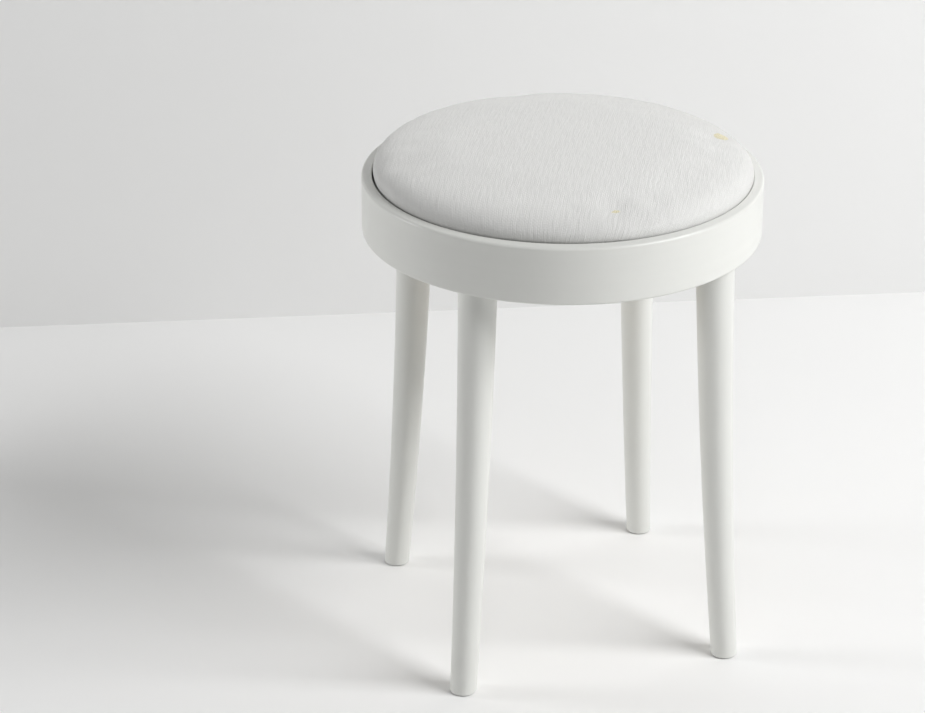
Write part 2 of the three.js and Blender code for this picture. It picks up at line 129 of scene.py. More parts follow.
def take(piece: bpy.types.Object) -> None:
    """Makes a piece the active object and the only one selected."""
    clear_selection()
    piece.select_set(True)
    bpy.context.view_layer.objects.active = piece


@contextmanager
def editing(piece: bpy.types.Object) -> Iterator[None]:
    """Opens a piece in edit mode for points with nothing selected, and closes it afterwards.

    Args:
        piece: The object to edit.
    """
    take(piece)
    bpy.ops.object.mode_set(mode="EDIT")
    bpy.ops.mesh.select_mode(type="VERT")
    bpy.ops.mesh.select_all(action="DESELECT")
    yield
    bpy.ops.object.mode_set(mode="OBJECT")


def pick(piece: bpy.types.Object, part: Part, test: Callable[[Vector, Vector], bool]) -> int:
    """Adds to the selection in edit mode what passes a test.

    Args:
        piece: The object in edit mode.
        part: Whether points, edges or faces are tested.
        test: Given the middle and the normal of each, says whether it is picked. An edge has no normal of
            its own and is tested with its direction.

    Returns:
        How many were picked.
    """
    bpy.ops.mesh.select_mode(type=part.value)
    mesh = bmesh.from_edit_mesh(piece.data)
    mesh.normal_update()
    if part is Part.POINT:
        found = [point for point in mesh.verts if test(point.co, point.normal)]
    elif part is Part.EDGE:
        found = []
        for edge in mesh.edges:
            first, second = (point.co for point in edge.verts)
            if test((first + second) / 2, (second - first).normalized()):
                found.append(edge)
    else:
        found = [face for face in mesh.faces if test(face.calc_center_median(), face.normal)]
    for item in found:
        item.select_set(True)
    mesh.select_flush_mode()
    bmesh.update_edit_mesh(piece.data)
    return len(found)


def apply_modifier(piece: bpy.types.Object, modifier: bpy.types.Modifier) -> None:
    """Applies one modifier of a piece."""
    take(piece)
    bpy.ops.object.modifier_apply(modifier=modifier.name)


def copy_of(piece: bpy.types.Object, name: str) -> bpy.types.Object:
    """Copies a piece together with its mesh.

    Args:
        piece: The piece to copy.
        name: The copy's name.

    Returns:
        The copy.
    """
    take(piece)
    bpy.ops.object.duplicate(linked=False)
    twin = bpy.context.view_layer.objects.active
    twin.name = name
    twin.data.name = name
    return twin


def settle(piece: bpy.types.Object, angle: float = 0.0) -> None:
    """Turns a piece about the stool's middle and puts its place into its mesh.

    Args:
        piece: The piece, which may have a place, a turn or a size of its own.
        angle: How far it turns, in degrees.
    """
    take(piece)
    bpy.ops.object.transform_apply(location=True, rotation=True, scale=True)
    piece.rotation_euler.z = math.radians(angle)
    bpy.ops.object.transform_apply(location=True, rotation=True, scale=True)


def scrap(piece: bpy.types.Object) -> None:
    """Throws a piece away together with its mesh."""
    mesh = piece.data
    bpy.data.objects.remove(piece, do_unlink=True)
    bpy.data.meshes.remove(mesh)


def joined(pieces: Sequence[bpy.types.Object]) -> bpy.types.Object:
    """Joins several pieces into the first one.

    Args:
        pieces: The pieces to join.

    Returns:
        The first piece, which now holds them all.
    """
    clear_selection()
    for piece in pieces:
        piece.select_set(True)
    bpy.context.view_layer.objects.active = pieces[0]
    bpy.ops.object.join()
    return pieces[0]


def cut_out(piece: bpy.types.Object, tools: Sequence[bpy.types.Object]) -> None:
    """Cuts closed tools out of a piece and throws the tools away.

    Args:
        piece: The piece that is cut.
        tools: The tools, which may overlap.
    """
    tool = joined(tools) if len(tools) > 1 else tools[0]
    cut = piece.modifiers.new("cut", "BOOLEAN")
    cut.operation = "DIFFERENCE"
    cut.solver = "EXACT"
    cut.use_self = len(tools) > 1
    cut.object = tool
    apply_modifier(piece, cut)
    scrap(tool)


def close_skin(piece: bpy.types.Object) -> None:
    """Merges the doubles of a turned skin and points its faces outwards."""
    with editing(piece):
        bpy.ops.mesh.select_all(action="SELECT")
        bpy.ops.mesh.remove_doubles(threshold=DOUBLES)
        bpy.ops.mesh.normals_make_consistent(inside=False)


def shade(piece: bpy.types.Object, crease: float = 35.0) -> None:
    """Shades a piece smooth but for its creases, with flat faces kept flat beside their rounds.

    Args:
        piece: The finished piece.
        crease: The least angle of a crease in degrees.
    """
    take(piece)
    bpy.ops.object.shade_smooth_by_angle(angle=math.radians(crease))
    weighted = piece.modifiers.new("weighted", "WEIGHTED_NORMAL")
    weighted.keep_sharp = True
    apply_modifier(piece, weighted)


# Turned shapes


@dataclass(frozen=True)
class Corner:
    """One corner of a turned outline.

    A corner without a round is sharp. One step makes the round a chamfer.
    """

    radius: float
    height: float
    round: float = 0.0
    steps: int = 5


def arc(
    centre: tuple[float, float], radius: float, start: float, stop: float, steps: int
) -> list[tuple[float, float]]:
    """Points along an arc in the half plane of a turned outline.

    Args:
        centre: Radius and height of the arc's centre.
        radius: The arc's own radius.
        start: Angle at which it begins.
        stop: Angle at which it ends.
        steps: How many straight steps it has.

    Returns:
        Its points as pairs of radius and height.
    """
    angles = [start + (stop - start) * i / steps for i in range(steps + 1)]
    return [(centre[0] + radius * math.cos(a), centre[1] + radius * math.sin(a)) for a in angles]


def drawn_outline(name: str, points: Sequence[tuple[float, float]]) -> bpy.types.Object:
    """Draws an outline point by point in the plane of +X and +Z.

    Args:
        name: The object's name.
        points: Pairs of radius and height.

    Returns:
        An object that holds the outline as a chain of edges.
    """
    clear_selection()
    first = Vector((points[0][0], 0, points[0][1]))
    bpy.ops.mesh.primitive_plane_add(size=MM, location=first)
    piece = bpy.context.view_layer.objects.active
    piece.name = name
    piece.data.name = name
    settle(piece)
    with editing(piece):
        bpy.ops.mesh.select_all(action="SELECT")
        bpy.ops.mesh.merge(type="CENTER")
        for before, after in zip(points, points[1:]):
            step = (after[0] - before[0], 0, after[1] - before[1])
            bpy.ops.mesh.extrude_vertices_move(TRANSFORM_OT_translate={"value": step})
    return piece


def round_corners(piece: bpy.types.Object, corners: Sequence[Corner]) -> None:
    """Rounds the corners of a drawn outline.

    Args:
        piece: The outline, whose chain is closed for the work and opened again between its first and last
            point.
        corners: The outline's corners, some with a round.
    """
    with editing(piece):
        bpy.ops.mesh.select_all(action="SELECT")
        bpy.ops.mesh.edge_face_add()
        for corner in corners:
            if corner.round <= 0:
                continue
            place = Vector((corner.radius, 0, corner.height))
            bpy.ops.mesh.select_all(action="DESELECT")
            pick(piece, Part.POINT, lambda at, _, place=place: (at - place).length < NEAR)
            bpy.ops.mesh.bevel(
                offset=corner.round,
                segments=corner.steps,
                affect="VERTICES",
                profile=ROUND,
                clamp_overlap=False,
            )
        bpy.ops.mesh.select_mode(type="FACE")
        bpy.ops.mesh.select_all(action="SELECT")
        bpy.ops.mesh.delete(type="ONLY_FACE")


def spun(piece: bpy.types.Object, facets: int) -> None:
    """Spins an outline about +Z into a closed skin.

    Args:
        piece: The outline. An edge that lies on the axis is taken away first.
        facets: How many steps the full turn has.
    """

    def on_axis(at: Vector, way: Vector) -> bool:
        """Whether an edge lies on the axis."""
        return math.hypot(at.x, at.y) < TINY and abs(way.z) > UPRIGHT

    with editing(piece):
        if pick(piece, Part.EDGE, on_axis):
            bpy.ops.mesh.delete(type="EDGE")
        bpy.ops.mesh.select_mode(type="VERT")
        bpy.ops.mesh.select_all(action="SELECT")
        bpy.ops.mesh.spin(steps=facets, angle=TURN, center=(0, 0, 0), axis=(0, 0, 1))
    close_skin(piece)


def turned(name: str, corners: Sequence[Corner], facets: int) -> bpy.types.Object:
    """Turns an outline with rounded corners about +Z, as on a lathe.

    Args:
        name: The object's name.
        corners: The outline, in either direction. It closes on itself, or begins and ends on the axis.
        facets: How many steps the full turn has.

    Returns:
        The turned piece.
    """
    piece = drawn_outline(name, [(corner.radius, corner.height) for corner in corners])
    round_corners(piece, corners)
    spun(piece, facets)
    return piece


def pin(name: str, radius: float, bottom: float, top: float, facets: int = 48) -> bpy.types.Object:
    """A plain round tool on +Z.

    Args:
        name: The object's name.
        radius: Its radius.
        bottom: Height of its lower face.
        top: Height of its upper face.
        facets: How many sides it has.

    Returns:
        The tool.
    """
    corners = [Corner(0, bottom), Corner(radius, bottom), Corner(radius, top), Corner(0, top)]
    return turned(name, corners, facets)


def mark_edges(piece: bpy.types.Object) -> None:
    """Writes into the attribute edge how strongly each point of a piece stands out as a rounded edge."""
    mesh = bmesh.new()
    mesh.from_mesh(piece.data)
    marks = []
    for point in mesh.verts:
        bends = [edge.calc_face_angle_signed(0) for edge in point.link_edges if edge.is_manifold]
        marks.append(min(1.0, max([0.0, *bends]) / FULL_EDGE))
    mesh.free()
    layer = piece.data.attributes.new("edge", "FLOAT", "POINT")
    layer.data.foreach_set("value", marks)


def hand_over(
    piece: bpy.types.Object, finish: bpy.types.Material, nodes: Iterable[str]
) -> None:
    """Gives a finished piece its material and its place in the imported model.

    Args:
        piece: The finished piece.
        finish: Its material.
        nodes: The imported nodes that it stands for.
    """
    piece.data.materials.clear()
    piece.data.materials.append(finish)
    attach(piece, BODY)
    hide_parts(*nodes)
    log.info("%s: %d faces", piece.name, len(piece.data.polygons))


# Shader trees

Feed = float | int | tuple | bpy.types.NodeSocket


class Tree:
    """Lays nodes in a shader tree and links them."""

    def __init__(self, tree: bpy.types.ShaderNodeTree) -> None:
        """Keeps the tree that the nodes go into."""
        self.tree = tree

    def node(
        self, kind: str, feeds: dict[str | int, Feed] | None = None, **settings: object
    ) -> bpy.types.Node:
        """Adds one node.

        Args:
            kind: The node's type.
            feeds: Values or sockets for its inputs, by name or number.
            **settings: Values of the node's own settings.

        Returns:
            The node.
        """
        made = self.tree.nodes.new(kind)
        for key, value in settings.items():
            setattr(made, key, value)
        for key, value in (feeds or {}).items():
            self.feed(made.inputs[key], value)
        return made

    def feed(self, socket: bpy.types.NodeSocket, value: Feed) -> None:
        """Links a socket to an input, or sets the input's value."""
        if isinstance(value, bpy.types.NodeSocket):
            self.tree.links.new(value, socket)
        else:
            socket.default_value = value

    def math(self, operation: str, *feeds: Feed, clamp: bool = False) -> bpy.types.NodeSocket:
        """The result of one sum.

        Args:
            operation: The sum's name in the Math node.
            *feeds: Its one to three inputs.
            clamp: Whether the result is kept from 0 to 1.

        Returns:
            The socket of the result.
        """
        made = self.node("ShaderNodeMath", dict(enumerate(feeds)), operation=operation, use_clamp=clamp)
        return made.outputs[0]

    def vector_math(self, operation: str, *feeds: Feed) -> bpy.types.NodeSocket:
        """The vector that one sum on vectors gives.

        Args:
            operation: The sum's name in the Vector Math node.
            *feeds: Its inputs.

        Returns:
            The socket of the result.
        """
        return self.node("ShaderNodeVectorMath", dict(enumerate(feeds)), operation=operation).outputs[0]

    def spread(
        self,
        value: Feed,
        low: float,
        high: float,
        to_low: float = 0.0,
        to_high: float = 1.0,
        smooth: bool = False,
    ) -> bpy.types.NodeSocket:
        """Maps one range onto another and keeps the result inside it.

        Args:
            value: What is mapped.
            low: Value that gives to_low.
            high: Value that gives to_high.
            to_low: Result at the low end.
            to_high: Result at the high end.
            smooth: Whether the ends ease in.

        Returns:
            The socket of the result.
        """
        made = self.node("ShaderNodeMapRange", {0: value, 1: low, 2: high, 3: to_low, 4: to_high})
        made.interpolation_type = "SMOOTHSTEP" if smooth else "LINEAR"
        return made.outputs[0]

    def noise(
        self, at: Feed, scale: float, detail: float = 2.0, roughness: float = 0.5
    ) -> bpy.types.NodeSocket:
        """A soft noise from 0 to 1 with its mean at a half.

        Args:
            at: Where it is read.
            scale: Its scale.
            detail: How many finer layers it has.
            roughness: How strong the finer layers are.

        Returns:
            The socket of the result.
        """
        feeds = {"Vector": at, "Scale": scale, "Detail": detail, "Roughness": roughness}
        return self.node("ShaderNodeTexNoise", feeds, noise_dimensions="3D").outputs[0]

    def tinted(self, colour: tuple[float, float, float], factor: Feed) -> bpy.types.NodeSocket:
        """A colour made lighter or darker by a factor near 1.

        Args:
            colour: The colour at factor 1.
            factor: What it is multiplied by.

        Returns:
            The socket of the result.
        """
        return self.vector_math("MULTIPLY", colour, self.vector_math("MULTIPLY", (1.0, 1.0, 1.0), factor))

    def mixed(self, share: Feed, first: Feed, second: Feed) -> bpy.types.NodeSocket:
        """A number between two others.

        Args:
            share: 0 gives the first and 1 the second.
            first: The first number.
            second: The second number.

        Returns:
            The socket of the result.
        """
        return self.node("ShaderNodeMix", {0: share, 2: first, 3: second}, data_type="FLOAT").outputs[0]

    def relief(self, shader: bpy.types.Node, height: Feed, strength: float = 1.0) -> None:
        """Feeds a height in metres to a shader's normal.

        Args:
            shader: The Principled shader.
            height: The height of the surface.
            strength: How much of it is felt.
        """
        bump = self.node("ShaderNodeBump", {"Strength": strength, "Distance": 1.0, "Height": height})
        self.feed(shader.inputs["Normal"], bump.outputs[0])

    def group(self, effect: bpy.types.ShaderNodeTree, **feeds: Feed) -> bpy.types.Node:
        """Places a shared effect.

        Args:
            effect: The effect's node group.
            **feeds: Values or sockets for its inputs, with _ for each space of the input's name.

        Returns:
            The group's node.
        """
        made = self.node("ShaderNodeGroup", node_tree=effect)
        for key, value in feeds.items():
            self.feed(made.inputs[key.replace("_", " ")], value)
        return made


class Socket(Enum):
    """Kinds of socket on a shared effect."""

    NUMBER = "NodeSocketFloat"
    VECTOR = "NodeSocketVector"


def new_effect(
    name: str, inputs: dict[str, Socket], outputs: dict[str, Socket]
) -> tuple[Tree, bpy.types.Node, bpy.types.Node]:
    """Begins a shared effect.

    Args:
        name: Its name.
        inputs: Its inputs and their kinds.
        outputs: Its outputs and their kinds.

    Returns:
        The tree to lay nodes in, the node that holds the inputs and the node that takes the outputs.
    """
    effect = bpy.data.node_groups.new(name, "ShaderNodeTree")
    for key, kind in inputs.items():
        effect.interface.new_socket(name=key, in_out="INPUT", socket_type=kind.value)
    for key, kind in outputs.items():
        effect.interface.new_socket(name=key, in_out="OUTPUT", socket_type=kind.value)
    tree = Tree(effect)
    return tree, tree.node("NodeGroupInput"), tree.node("NodeGroupOutput")


class Effects:
    """Effects that more than one finish uses, each built once."""

    FIBRE_STRETCH = (1.0, 1.0, 0.035)
    BAND_WAVE = 0.4
    PORE_ROUGHNESS = 0.4
    PORE_REACH = (0.56, 0.72)
    RUB_REACH = (0.35, 0.65)

    def __init__(self) -> None:
        """Builds all the effects."""
        self.mottle = self.build_mottle()
        self.fibre = self.build_fibre()
        self.rub = self.build_rub()

    @staticmethod
    def build_mottle() -> bpy.types.ShaderNodeTree:
        """Slow, soft unevenness of a surface: a factor near 1."""
        kinds = {"Vector": Socket.VECTOR, "Scale": Socket.NUMBER, "Amount": Socket.NUMBER}
        tree, given, made = new_effect("uneven tone", kinds, {"Factor": Socket.NUMBER})
        noise = tree.node("ShaderNodeTexNoise", {"Vector": given.outputs["Vector"], "Detail": 3.0})
        tree.feed(noise.inputs["Scale"], given.outputs["Scale"])
        centred = tree.math("SUBTRACT", noise.outputs[0], MIDDLE)
        swing = tree.math("MULTIPLY", centred, given.outputs["Amount"])
        tree.feed(made.inputs["Factor"], tree.math("ADD", 1.0, tree.math("MULTIPLY", swing, 2.0)))
        return tree.tree

    @staticmethod
    def build_fibre() -> bpy.types.ShaderNodeTree:
        """Wood fibre that runs along Z of its vector: broad bands and fine, long pores."""
        kinds = {"Vector": Socket.VECTOR, "Band Scale": Socket.NUMBER, "Pore Scale": Socket.NUMBER}
        outs = {"Band": Socket.NUMBER, "Pore": Socket.NUMBER}
        tree, given, made = new_effect("wood fibre", kinds, outs)
        along = tree.vector_math("MULTIPLY", given.outputs["Vector"], Effects.FIBRE_STRETCH)
        waved = {"Vector": along, "Detail": 3.0, "Distortion": Effects.BAND_WAVE}
        band = tree.node("ShaderNodeTexNoise", waved)
        tree.feed(band.inputs["Scale"], given.outputs["Band Scale"])
        fine = {"Vector": along, "Detail": 1.0, "Roughness": Effects.PORE_ROUGHNESS}
        pore = tree.node("ShaderNodeTexNoise", fine)
        tree.feed(pore.inputs["Scale"], given.outputs["Pore Scale"])
        tree.feed(made.inputs["Band"], tree.spread(band.outputs[0], *SOFT_NOISE))
        tree.feed(made.inputs["Pore"], tree.spread(pore.outputs[0], *Effects.PORE_REACH, smooth=True))
        return tree.tree

    @staticmethod
    def build_rub() -> bpy.types.ShaderNodeTree:
        """A broken mask along the piece's rounded edges, where hands and cloths have rubbed. The lacquer
        also lifts its colour with it as a painted highlight.
        """
        kinds = {"Vector": Socket.VECTOR, "Scale": Socket.NUMBER}
        tree, given, made = new_effect("rubbed edge", kinds, {"Mask": Socket.NUMBER})
        edge = tree.node("ShaderNodeAttribute", attribute_name="edge").outputs["Fac"]
        noise = tree.node("ShaderNodeTexNoise", {"Vector": given.outputs["Vector"], "Detail": 4.0})
        tree.feed(noise.inputs["Scale"], given.outputs["Scale"])
        broken = tree.spread(noise.outputs[0], *Effects.RUB_REACH, smooth=True)
        tree.feed(made.inputs["Mask"], tree.math("MULTIPLY", edge, broken, clamp=True))
        return tree.tree


def new_material(name: str) -> tuple[Tree, bpy.types.Node, bpy.types.Material]:
    """Begins a material.

    Args:
        name: Its name.

    Returns:
        The tree to lay nodes in, the Principled shader in it and the material.
    """
    material = bpy.data.materials.new(name)
    material.use_nodes = True
    tree = Tree(material.node_tree)
    shader = next(node for node in material.node_tree.nodes if node.type == "BSDF_PRINCIPLED")
    return tree, shader, material


# Finishes


class FibreRun(Enum):
    """Which way the wood runs in a lacquered piece."""

    ROUND_THE_RING = "ring"
    ALONG_THE_LEG = "leg"


@dataclass(frozen=True)
class Lacquer:
    """Satin lacquer on beech, with the wood's fibre just felt through it."""

    run: FibreRun
    colour: tuple[float, float, float] = (0.735, 0.74, 0.71)
    roughness: float = 0.36
    smoother: float = 0.04
    rougher: float = 0.05
    refraction: float = 1.48
    tone_scale: float = 9.0
    tone_swing: float = 0.012
    band_scale: float = 60.0
    pore_scale: float = 900.0
    cloud_scale: float = 55.0
    rub_scale: float = 45.0
    # Lift of the colour along the rounded edges: a painted highlight
    rub_wear_and_highlight: float = 0.02
    rub_polish: float = 0.09
    fibre_depth: float = 0.012 * MM
    peel_scale: float = 520.0
    peel_depth: float = 0.01 * MM
    ring_reach: float = 160 * MM

    def build(self, effects: Effects) -> bpy.types.Material:
        """Builds the material.

        Args:
            effects: The shared effects.

        Returns:
            The material.
        """
        tree, shader, material = new_material(f"lacquered beech, {self.run.value}")
        at = tree.node("ShaderNodeTexCoord").outputs["Object"]
        along = self.fibre_space(tree, at)
        fibre = tree.group(
            effects.fibre, Vector=along, Band_Scale=self.band_scale, Pore_Scale=self.pore_scale
        )
        tone = tree.group(effects.mottle, Vector=at, Scale=self.tone_scale, Amount=self.tone_swing)
        rub = tree.group(effects.rub, Vector=at, Scale=self.rub_scale)
        banded = tree.spread(fibre.outputs["Band"], 0.0, 1.0, 1 - self.tone_swing, 1 + self.tone_swing)
        # Painted highlight: the colour is a little lighter along the rounded edges
        lighter = tree.math("MULTIPLY_ADD", rub.outputs["Mask"], self.rub_wear_and_highlight, 1.0)
        factor = tree.math("MULTIPLY", tree.math("MULTIPLY", tone.outputs["Factor"], banded), lighter)
        tree.feed(shader.inputs["Base Color"], tree.tinted(self.colour, factor))
        cloudy = tree.noise(at, self.cloud_scale, detail=4.0)
        smoothest, roughest = self.roughness - self.smoother, self.roughness + self.rougher
        matt = tree.spread(cloudy, *SOFT_NOISE, smoothest, roughest)
        polished = tree.math("MULTIPLY_ADD", rub.outputs["Mask"], -self.rub_polish, matt)
        tree.feed(shader.inputs["Roughness"], polished)
        peel = tree.math("MULTIPLY", tree.noise(at, self.peel_scale, detail=1.0), self.peel_depth)
        tree.relief(shader, tree.math("MULTIPLY_ADD", fibre.outputs["Pore"], -self.fibre_depth, peel))
        shader.inputs["IOR"].default_value = self.refraction
        return material

    def fibre_space(self, tree: Tree, at: bpy.types.NodeSocket) -> bpy.types.NodeSocket:
        """The vector whose Z runs along the fibre.

        Args:
            tree: The material's tree.
            at: The place on the piece.

        Returns:
            The socket of the vector.
        """
        if self.run is FibreRun.ALONG_THE_LEG:
            return at
        x, y, z = tree.node("ShaderNodeSeparateXYZ", {0: at}).outputs
        squares = tree.math("ADD", tree.math("MULTIPLY", x, x), tree.math("MULTIPLY", y, y))
        radius = tree.math("SQRT", squares)
        length = tree.math("MULTIPLY", tree.math("ARCTAN2", y, x), self.ring_reach)
        return tree.node("ShaderNodeCombineXYZ", {0: radius, 1: z, 2: length}).outputs[0]


@dataclass(frozen=True)
class Wool:
    """Woven wool whose warp lies on top, thick and thin and flecked lighter and darker along the thread.

    It reads the map cloth, which holds metres along the weft and along the warp, and a point attribute that
    is 0 on the crown and rises to 1 on the flank just above the ring, where it darkens the colour as
    painted shade.
    """

    colour: tuple[float, float, float] = (0.765, 0.765, 0.749)
    warp_pitch: float = 1.7 * MM
    weft_pitch: float = 1.6 * MM
    warp_lift: tuple[float, float] = (0.45, 1.0)
    weft_lift: tuple[float, float] = (0.0, 0.8)
    blend: float = 0.15
    parting: float = 0.12
    wander_scale: float = 70.0
    wander: float = 2.2 * MM
    slub_length: float = 11.0 * MM
    slub_seed: float = 7.31
    slub_swell: tuple[float, float] = (0.45, 0.9)
    slub_reach: tuple[float, float] = (0.25, 0.75)
    streak_width: float = 2.3 * MM
    streak_length: float = 18.0 * MM
    streak_seed: float = 4.7
    streak_reach: tuple[float, float] = (0.25, 0.75)
    streak_roughness: float = 0.55
    streak_share: float = 1.2
    fleck_swing: float = 0.014
    # Painted shade in the hollows between threads: the heights it spans and the colour factor at each end
    hollow_shade_reach: tuple[float, float] = (0.0, 0.6)
    hollow_shade_tone: tuple[float, float] = (0.96, 1.01)
    tone_scale: float = 26.0
    tone_swing: float = 0.012
    fuzz_scale: float = 2600.0
    fuzz_share: float = 0.2
    fuzz_reach: tuple[float, float] = (0.2, 0.8)
    roughness: tuple[float, float] = (0.86, 0.98)
    relief: float = 0.15 * MM
    streak_relief: float = 0.24 * MM
    # Darkening of the colour on the flank just above the ring: painted shade
    flank_shade_depth: float = 0.16
    gloss: float = 0.18
    sheen: float = 0.12
    sheen_roughness: float = 0.5

    def build(self, effects: Effects) -> bpy.types.Material:
        """Builds the material.

        Args:
            effects: The shared effects.

        Returns:
            The material.
        """
        tree, shader, material = new_material("woven wool")
        at = tree.node("ShaderNodeUVMap", uv_map="cloth").outputs[0]
        noise = tree.node("ShaderNodeTexNoise", {"Vector": at, "Scale": self.wander_scale, "Detail": 2.0})
        centred = tree.vector_math("SUBTRACT", noise.outputs["Color"], (MIDDLE, MIDDLE, MIDDLE))
        shift = tree.vector_math("MULTIPLY", centred, (self.wander, self.wander, self.wander))
        shifted = tree.vector_math("ADD", at, shift)
        across, along, _ = tree.node("ShaderNodeSeparateXYZ", {0: shifted}).outputs
        warps = tree.math("DIVIDE", across, self.warp_pitch)
        wefts = tree.math("DIVIDE", along, self.weft_pitch)
        crossing = tree.math(
            "MULTIPLY",
            tree.math("SINE", tree.math("MULTIPLY", warps, math.pi)),
            tree.math("SINE", tree.math("MULTIPLY", wefts, math.pi)),
        )
        warp_slub = self.slub_of(tree, warps, along)
        weft_slub = self.slub_of(tree, wefts, across)
        warp_up = tree.spread(crossing, -1.0, 1.0, *self.warp_lift)
        weft_up = tree.spread(crossing, 1.0, -1.0, *self.weft_lift)
        warp_height = self.thread_height(tree, warps, warp_up, warp_slub)
        weft_height = self.thread_height(tree, wefts, weft_up, weft_slub)
        height = tree.math("SMOOTH_MAX", warp_height, weft_height, self.blend)
        over_weft = tree.math("SUBTRACT", warp_height, weft_height)
        on_warp = tree.spread(over_weft, -self.parting, self.parting)
        slub = tree.mixed(on_warp, weft_slub, warp_slub)
        streak = self.streak_of(tree, across, along)
        flecked = tree.math("MULTIPLY_ADD", tree.math("SUBTRACT", streak, MIDDLE), self.streak_share, slub)
        fleck = tree.spread(flecked, 0.0, 1.0, 1 - self.fleck_swing, 1 + self.fleck_swing)
        tone = tree.group(effects.mottle, Vector=at, Scale=self.tone_scale, Amount=self.tone_swing)
        # Painted shade: the colour is darker in the hollows between the threads
        hollow_shade = tree.spread(height, *self.hollow_shade_reach, *self.hollow_shade_tone)
        # Painted shade: the colour on the flank just above the ring is darkened, most where the attribute
        # is 1
        flank_shading = tree.node("ShaderNodeAttribute", attribute_name="flank_shade").outputs["Fac"]
        shaded_tone = tree.math("MULTIPLY_ADD", flank_shading, -self.flank_shade_depth, tone.outputs["Factor"])
        factor = tree.math("MULTIPLY", tree.math("MULTIPLY", fleck, shaded_tone), hollow_shade)
        tree.feed(shader.inputs["Base Color"], tree.tinted(self.colour, factor))
        fuzz = tree.noise(at, self.fuzz_scale, detail=2.0)
        fuzzy = tree.math("MULTIPLY_ADD", fuzz, self.fuzz_share, height)
        threads = tree.math("MULTIPLY", fuzzy, self.relief)
        tree.relief(shader, tree.math("MULTIPLY_ADD", streak, self.streak_relief, threads))
        matt = tree.spread(fuzz, *self.fuzz_reach, *self.roughness)
        tree.feed(shader.inputs["Roughness"], matt)
        shader.inputs["Specular IOR Level"].default_value = self.gloss
        shader.inputs["Sheen Weight"].default_value = self.sheen
        shader.inputs["Sheen Roughness"].default_value = self.sheen_roughness
        return material

    def streak_of(
        self, tree: Tree, across: bpy.types.NodeSocket, along: bpy.types.NodeSocket
    ) -> bpy.types.NodeSocket:
        """Where several warp threads together lie higher, in long streaks.

        Args:
            tree: The material's tree.
            across: Metres across the warp.
            along: Metres along it.

        Returns:
            The socket of a height from 0 to 1.
        """
        widths = tree.math("DIVIDE", across, self.streak_width)
        lengths = tree.math("DIVIDE", along, self.streak_length)
        place = tree.node("ShaderNodeCombineXYZ", {0: widths, 1: lengths, 2: self.streak_seed}).outputs[0]
        streaks = tree.noise(place, 1.0, detail=2.0, roughness=self.streak_roughness)
        return tree.spread(streaks, *self.streak_reach)

    def slub_of(
        self, tree: Tree, threads: bpy.types.NodeSocket, along: bpy.types.NodeSocket
    ) -> bpy.types.NodeSocket:
        """How thick each thread is at each place along it.

        Args:
            tree: The material's tree.
            threads: Place across the threads, counted in threads.
            along: Metres along them.

        Returns:
            The socket of a thickness from 0, thin, to 1, thick.
        """
        number = tree.math("MULTIPLY", tree.math("FLOOR", threads), self.slub_seed)
        lengths = tree.math("DIVIDE", along, self.slub_length)
        place = tree.node("ShaderNodeCombineXYZ", {0: number, 1: lengths}).outputs[0]
        return tree.spread(tree.noise(place, 1.0, detail=1.0), *self.slub_reach)

    def thread_height(
        self,
        tree: Tree,
        threads: bpy.types.NodeSocket,
        up: bpy.types.NodeSocket,
        slub: bpy.types.NodeSocket,
    ) -> bpy.types.NodeSocket:
        """How high each thread stands: round across, up and down at crossings, higher where it is thick.

        Args:
            tree: The material's tree.
            threads: Place across the threads, counted in threads.
            up: How far the crossing lifts the thread.
            slub: The thread's thickness.

        Returns:
            The socket of the height.
        """
        across = tree.math("MULTIPLY_ADD", tree.math("FRACT", threads), 2.0, -1.0)
        left = tree.math("SUBTRACT", 1.0, tree.math("MULTIPLY", across, across))
        back = tree.math("SQRT", tree.math("MAXIMUM", left, 0.0))
        least, swell = self.slub_swell
        thick = tree.math("MULTIPLY_ADD", slub, swell, least)
        return tree.math("MULTIPLY", tree.math("MULTIPLY", back, up), thick)


@dataclass(frozen=True)
class Foam:
    """Open-cell seat foam."""

    colour: tuple[float, float, float] = (0.815, 0.76, 0.552)
    cell_scale: float = 900.0
    cell_depth: float = 0.4 * MM
    cell_reach: tuple[float, float] = (0.1, 0.6)
    pore_shade_tone: tuple[float, float] = (0.62, 1.0)
    tone_scale: float = 18.0
    tone_swing: float = 0.04
    roughness: tuple[float, float] = (1.0, 0.9)
    felt_depth_share: float = 0.7

    def build(self, effects: Effects) -> bpy.types.Material:
        """Builds the material.

        Args:
            effects: The shared effects.

        Returns:
            The material.
        """
        tree, shader, material = new_material("open-cell foam")
        at = tree.node("ShaderNodeTexCoord").outputs["Object"]
        cells = tree.node("ShaderNodeTexVoronoi", {"Vector": at, "Scale": self.cell_scale})
        from_middle = cells.outputs["Distance"]
        # Painted shade: the colour is darker towards the middle of each cell, where it sinks deepest
        wall = tree.spread(from_middle, *self.cell_reach, *self.pore_shade_tone)
        tone = tree.group(effects.mottle, Vector=at, Scale=self.tone_scale, Amount=self.tone_swing)
        factor = tree.math("MULTIPLY", wall, tone.outputs["Factor"])
        tree.feed(shader.inputs["Base Color"], tree.tinted(self.colour, factor))
        tree.relief(shader, tree.math("MULTIPLY", from_middle, self.cell_depth), self.felt_depth_share)
        matt = tree.spread(from_middle, *self.cell_reach, *self.roughness)
        tree.feed(shader.inputs["Roughness"], matt)
        return material


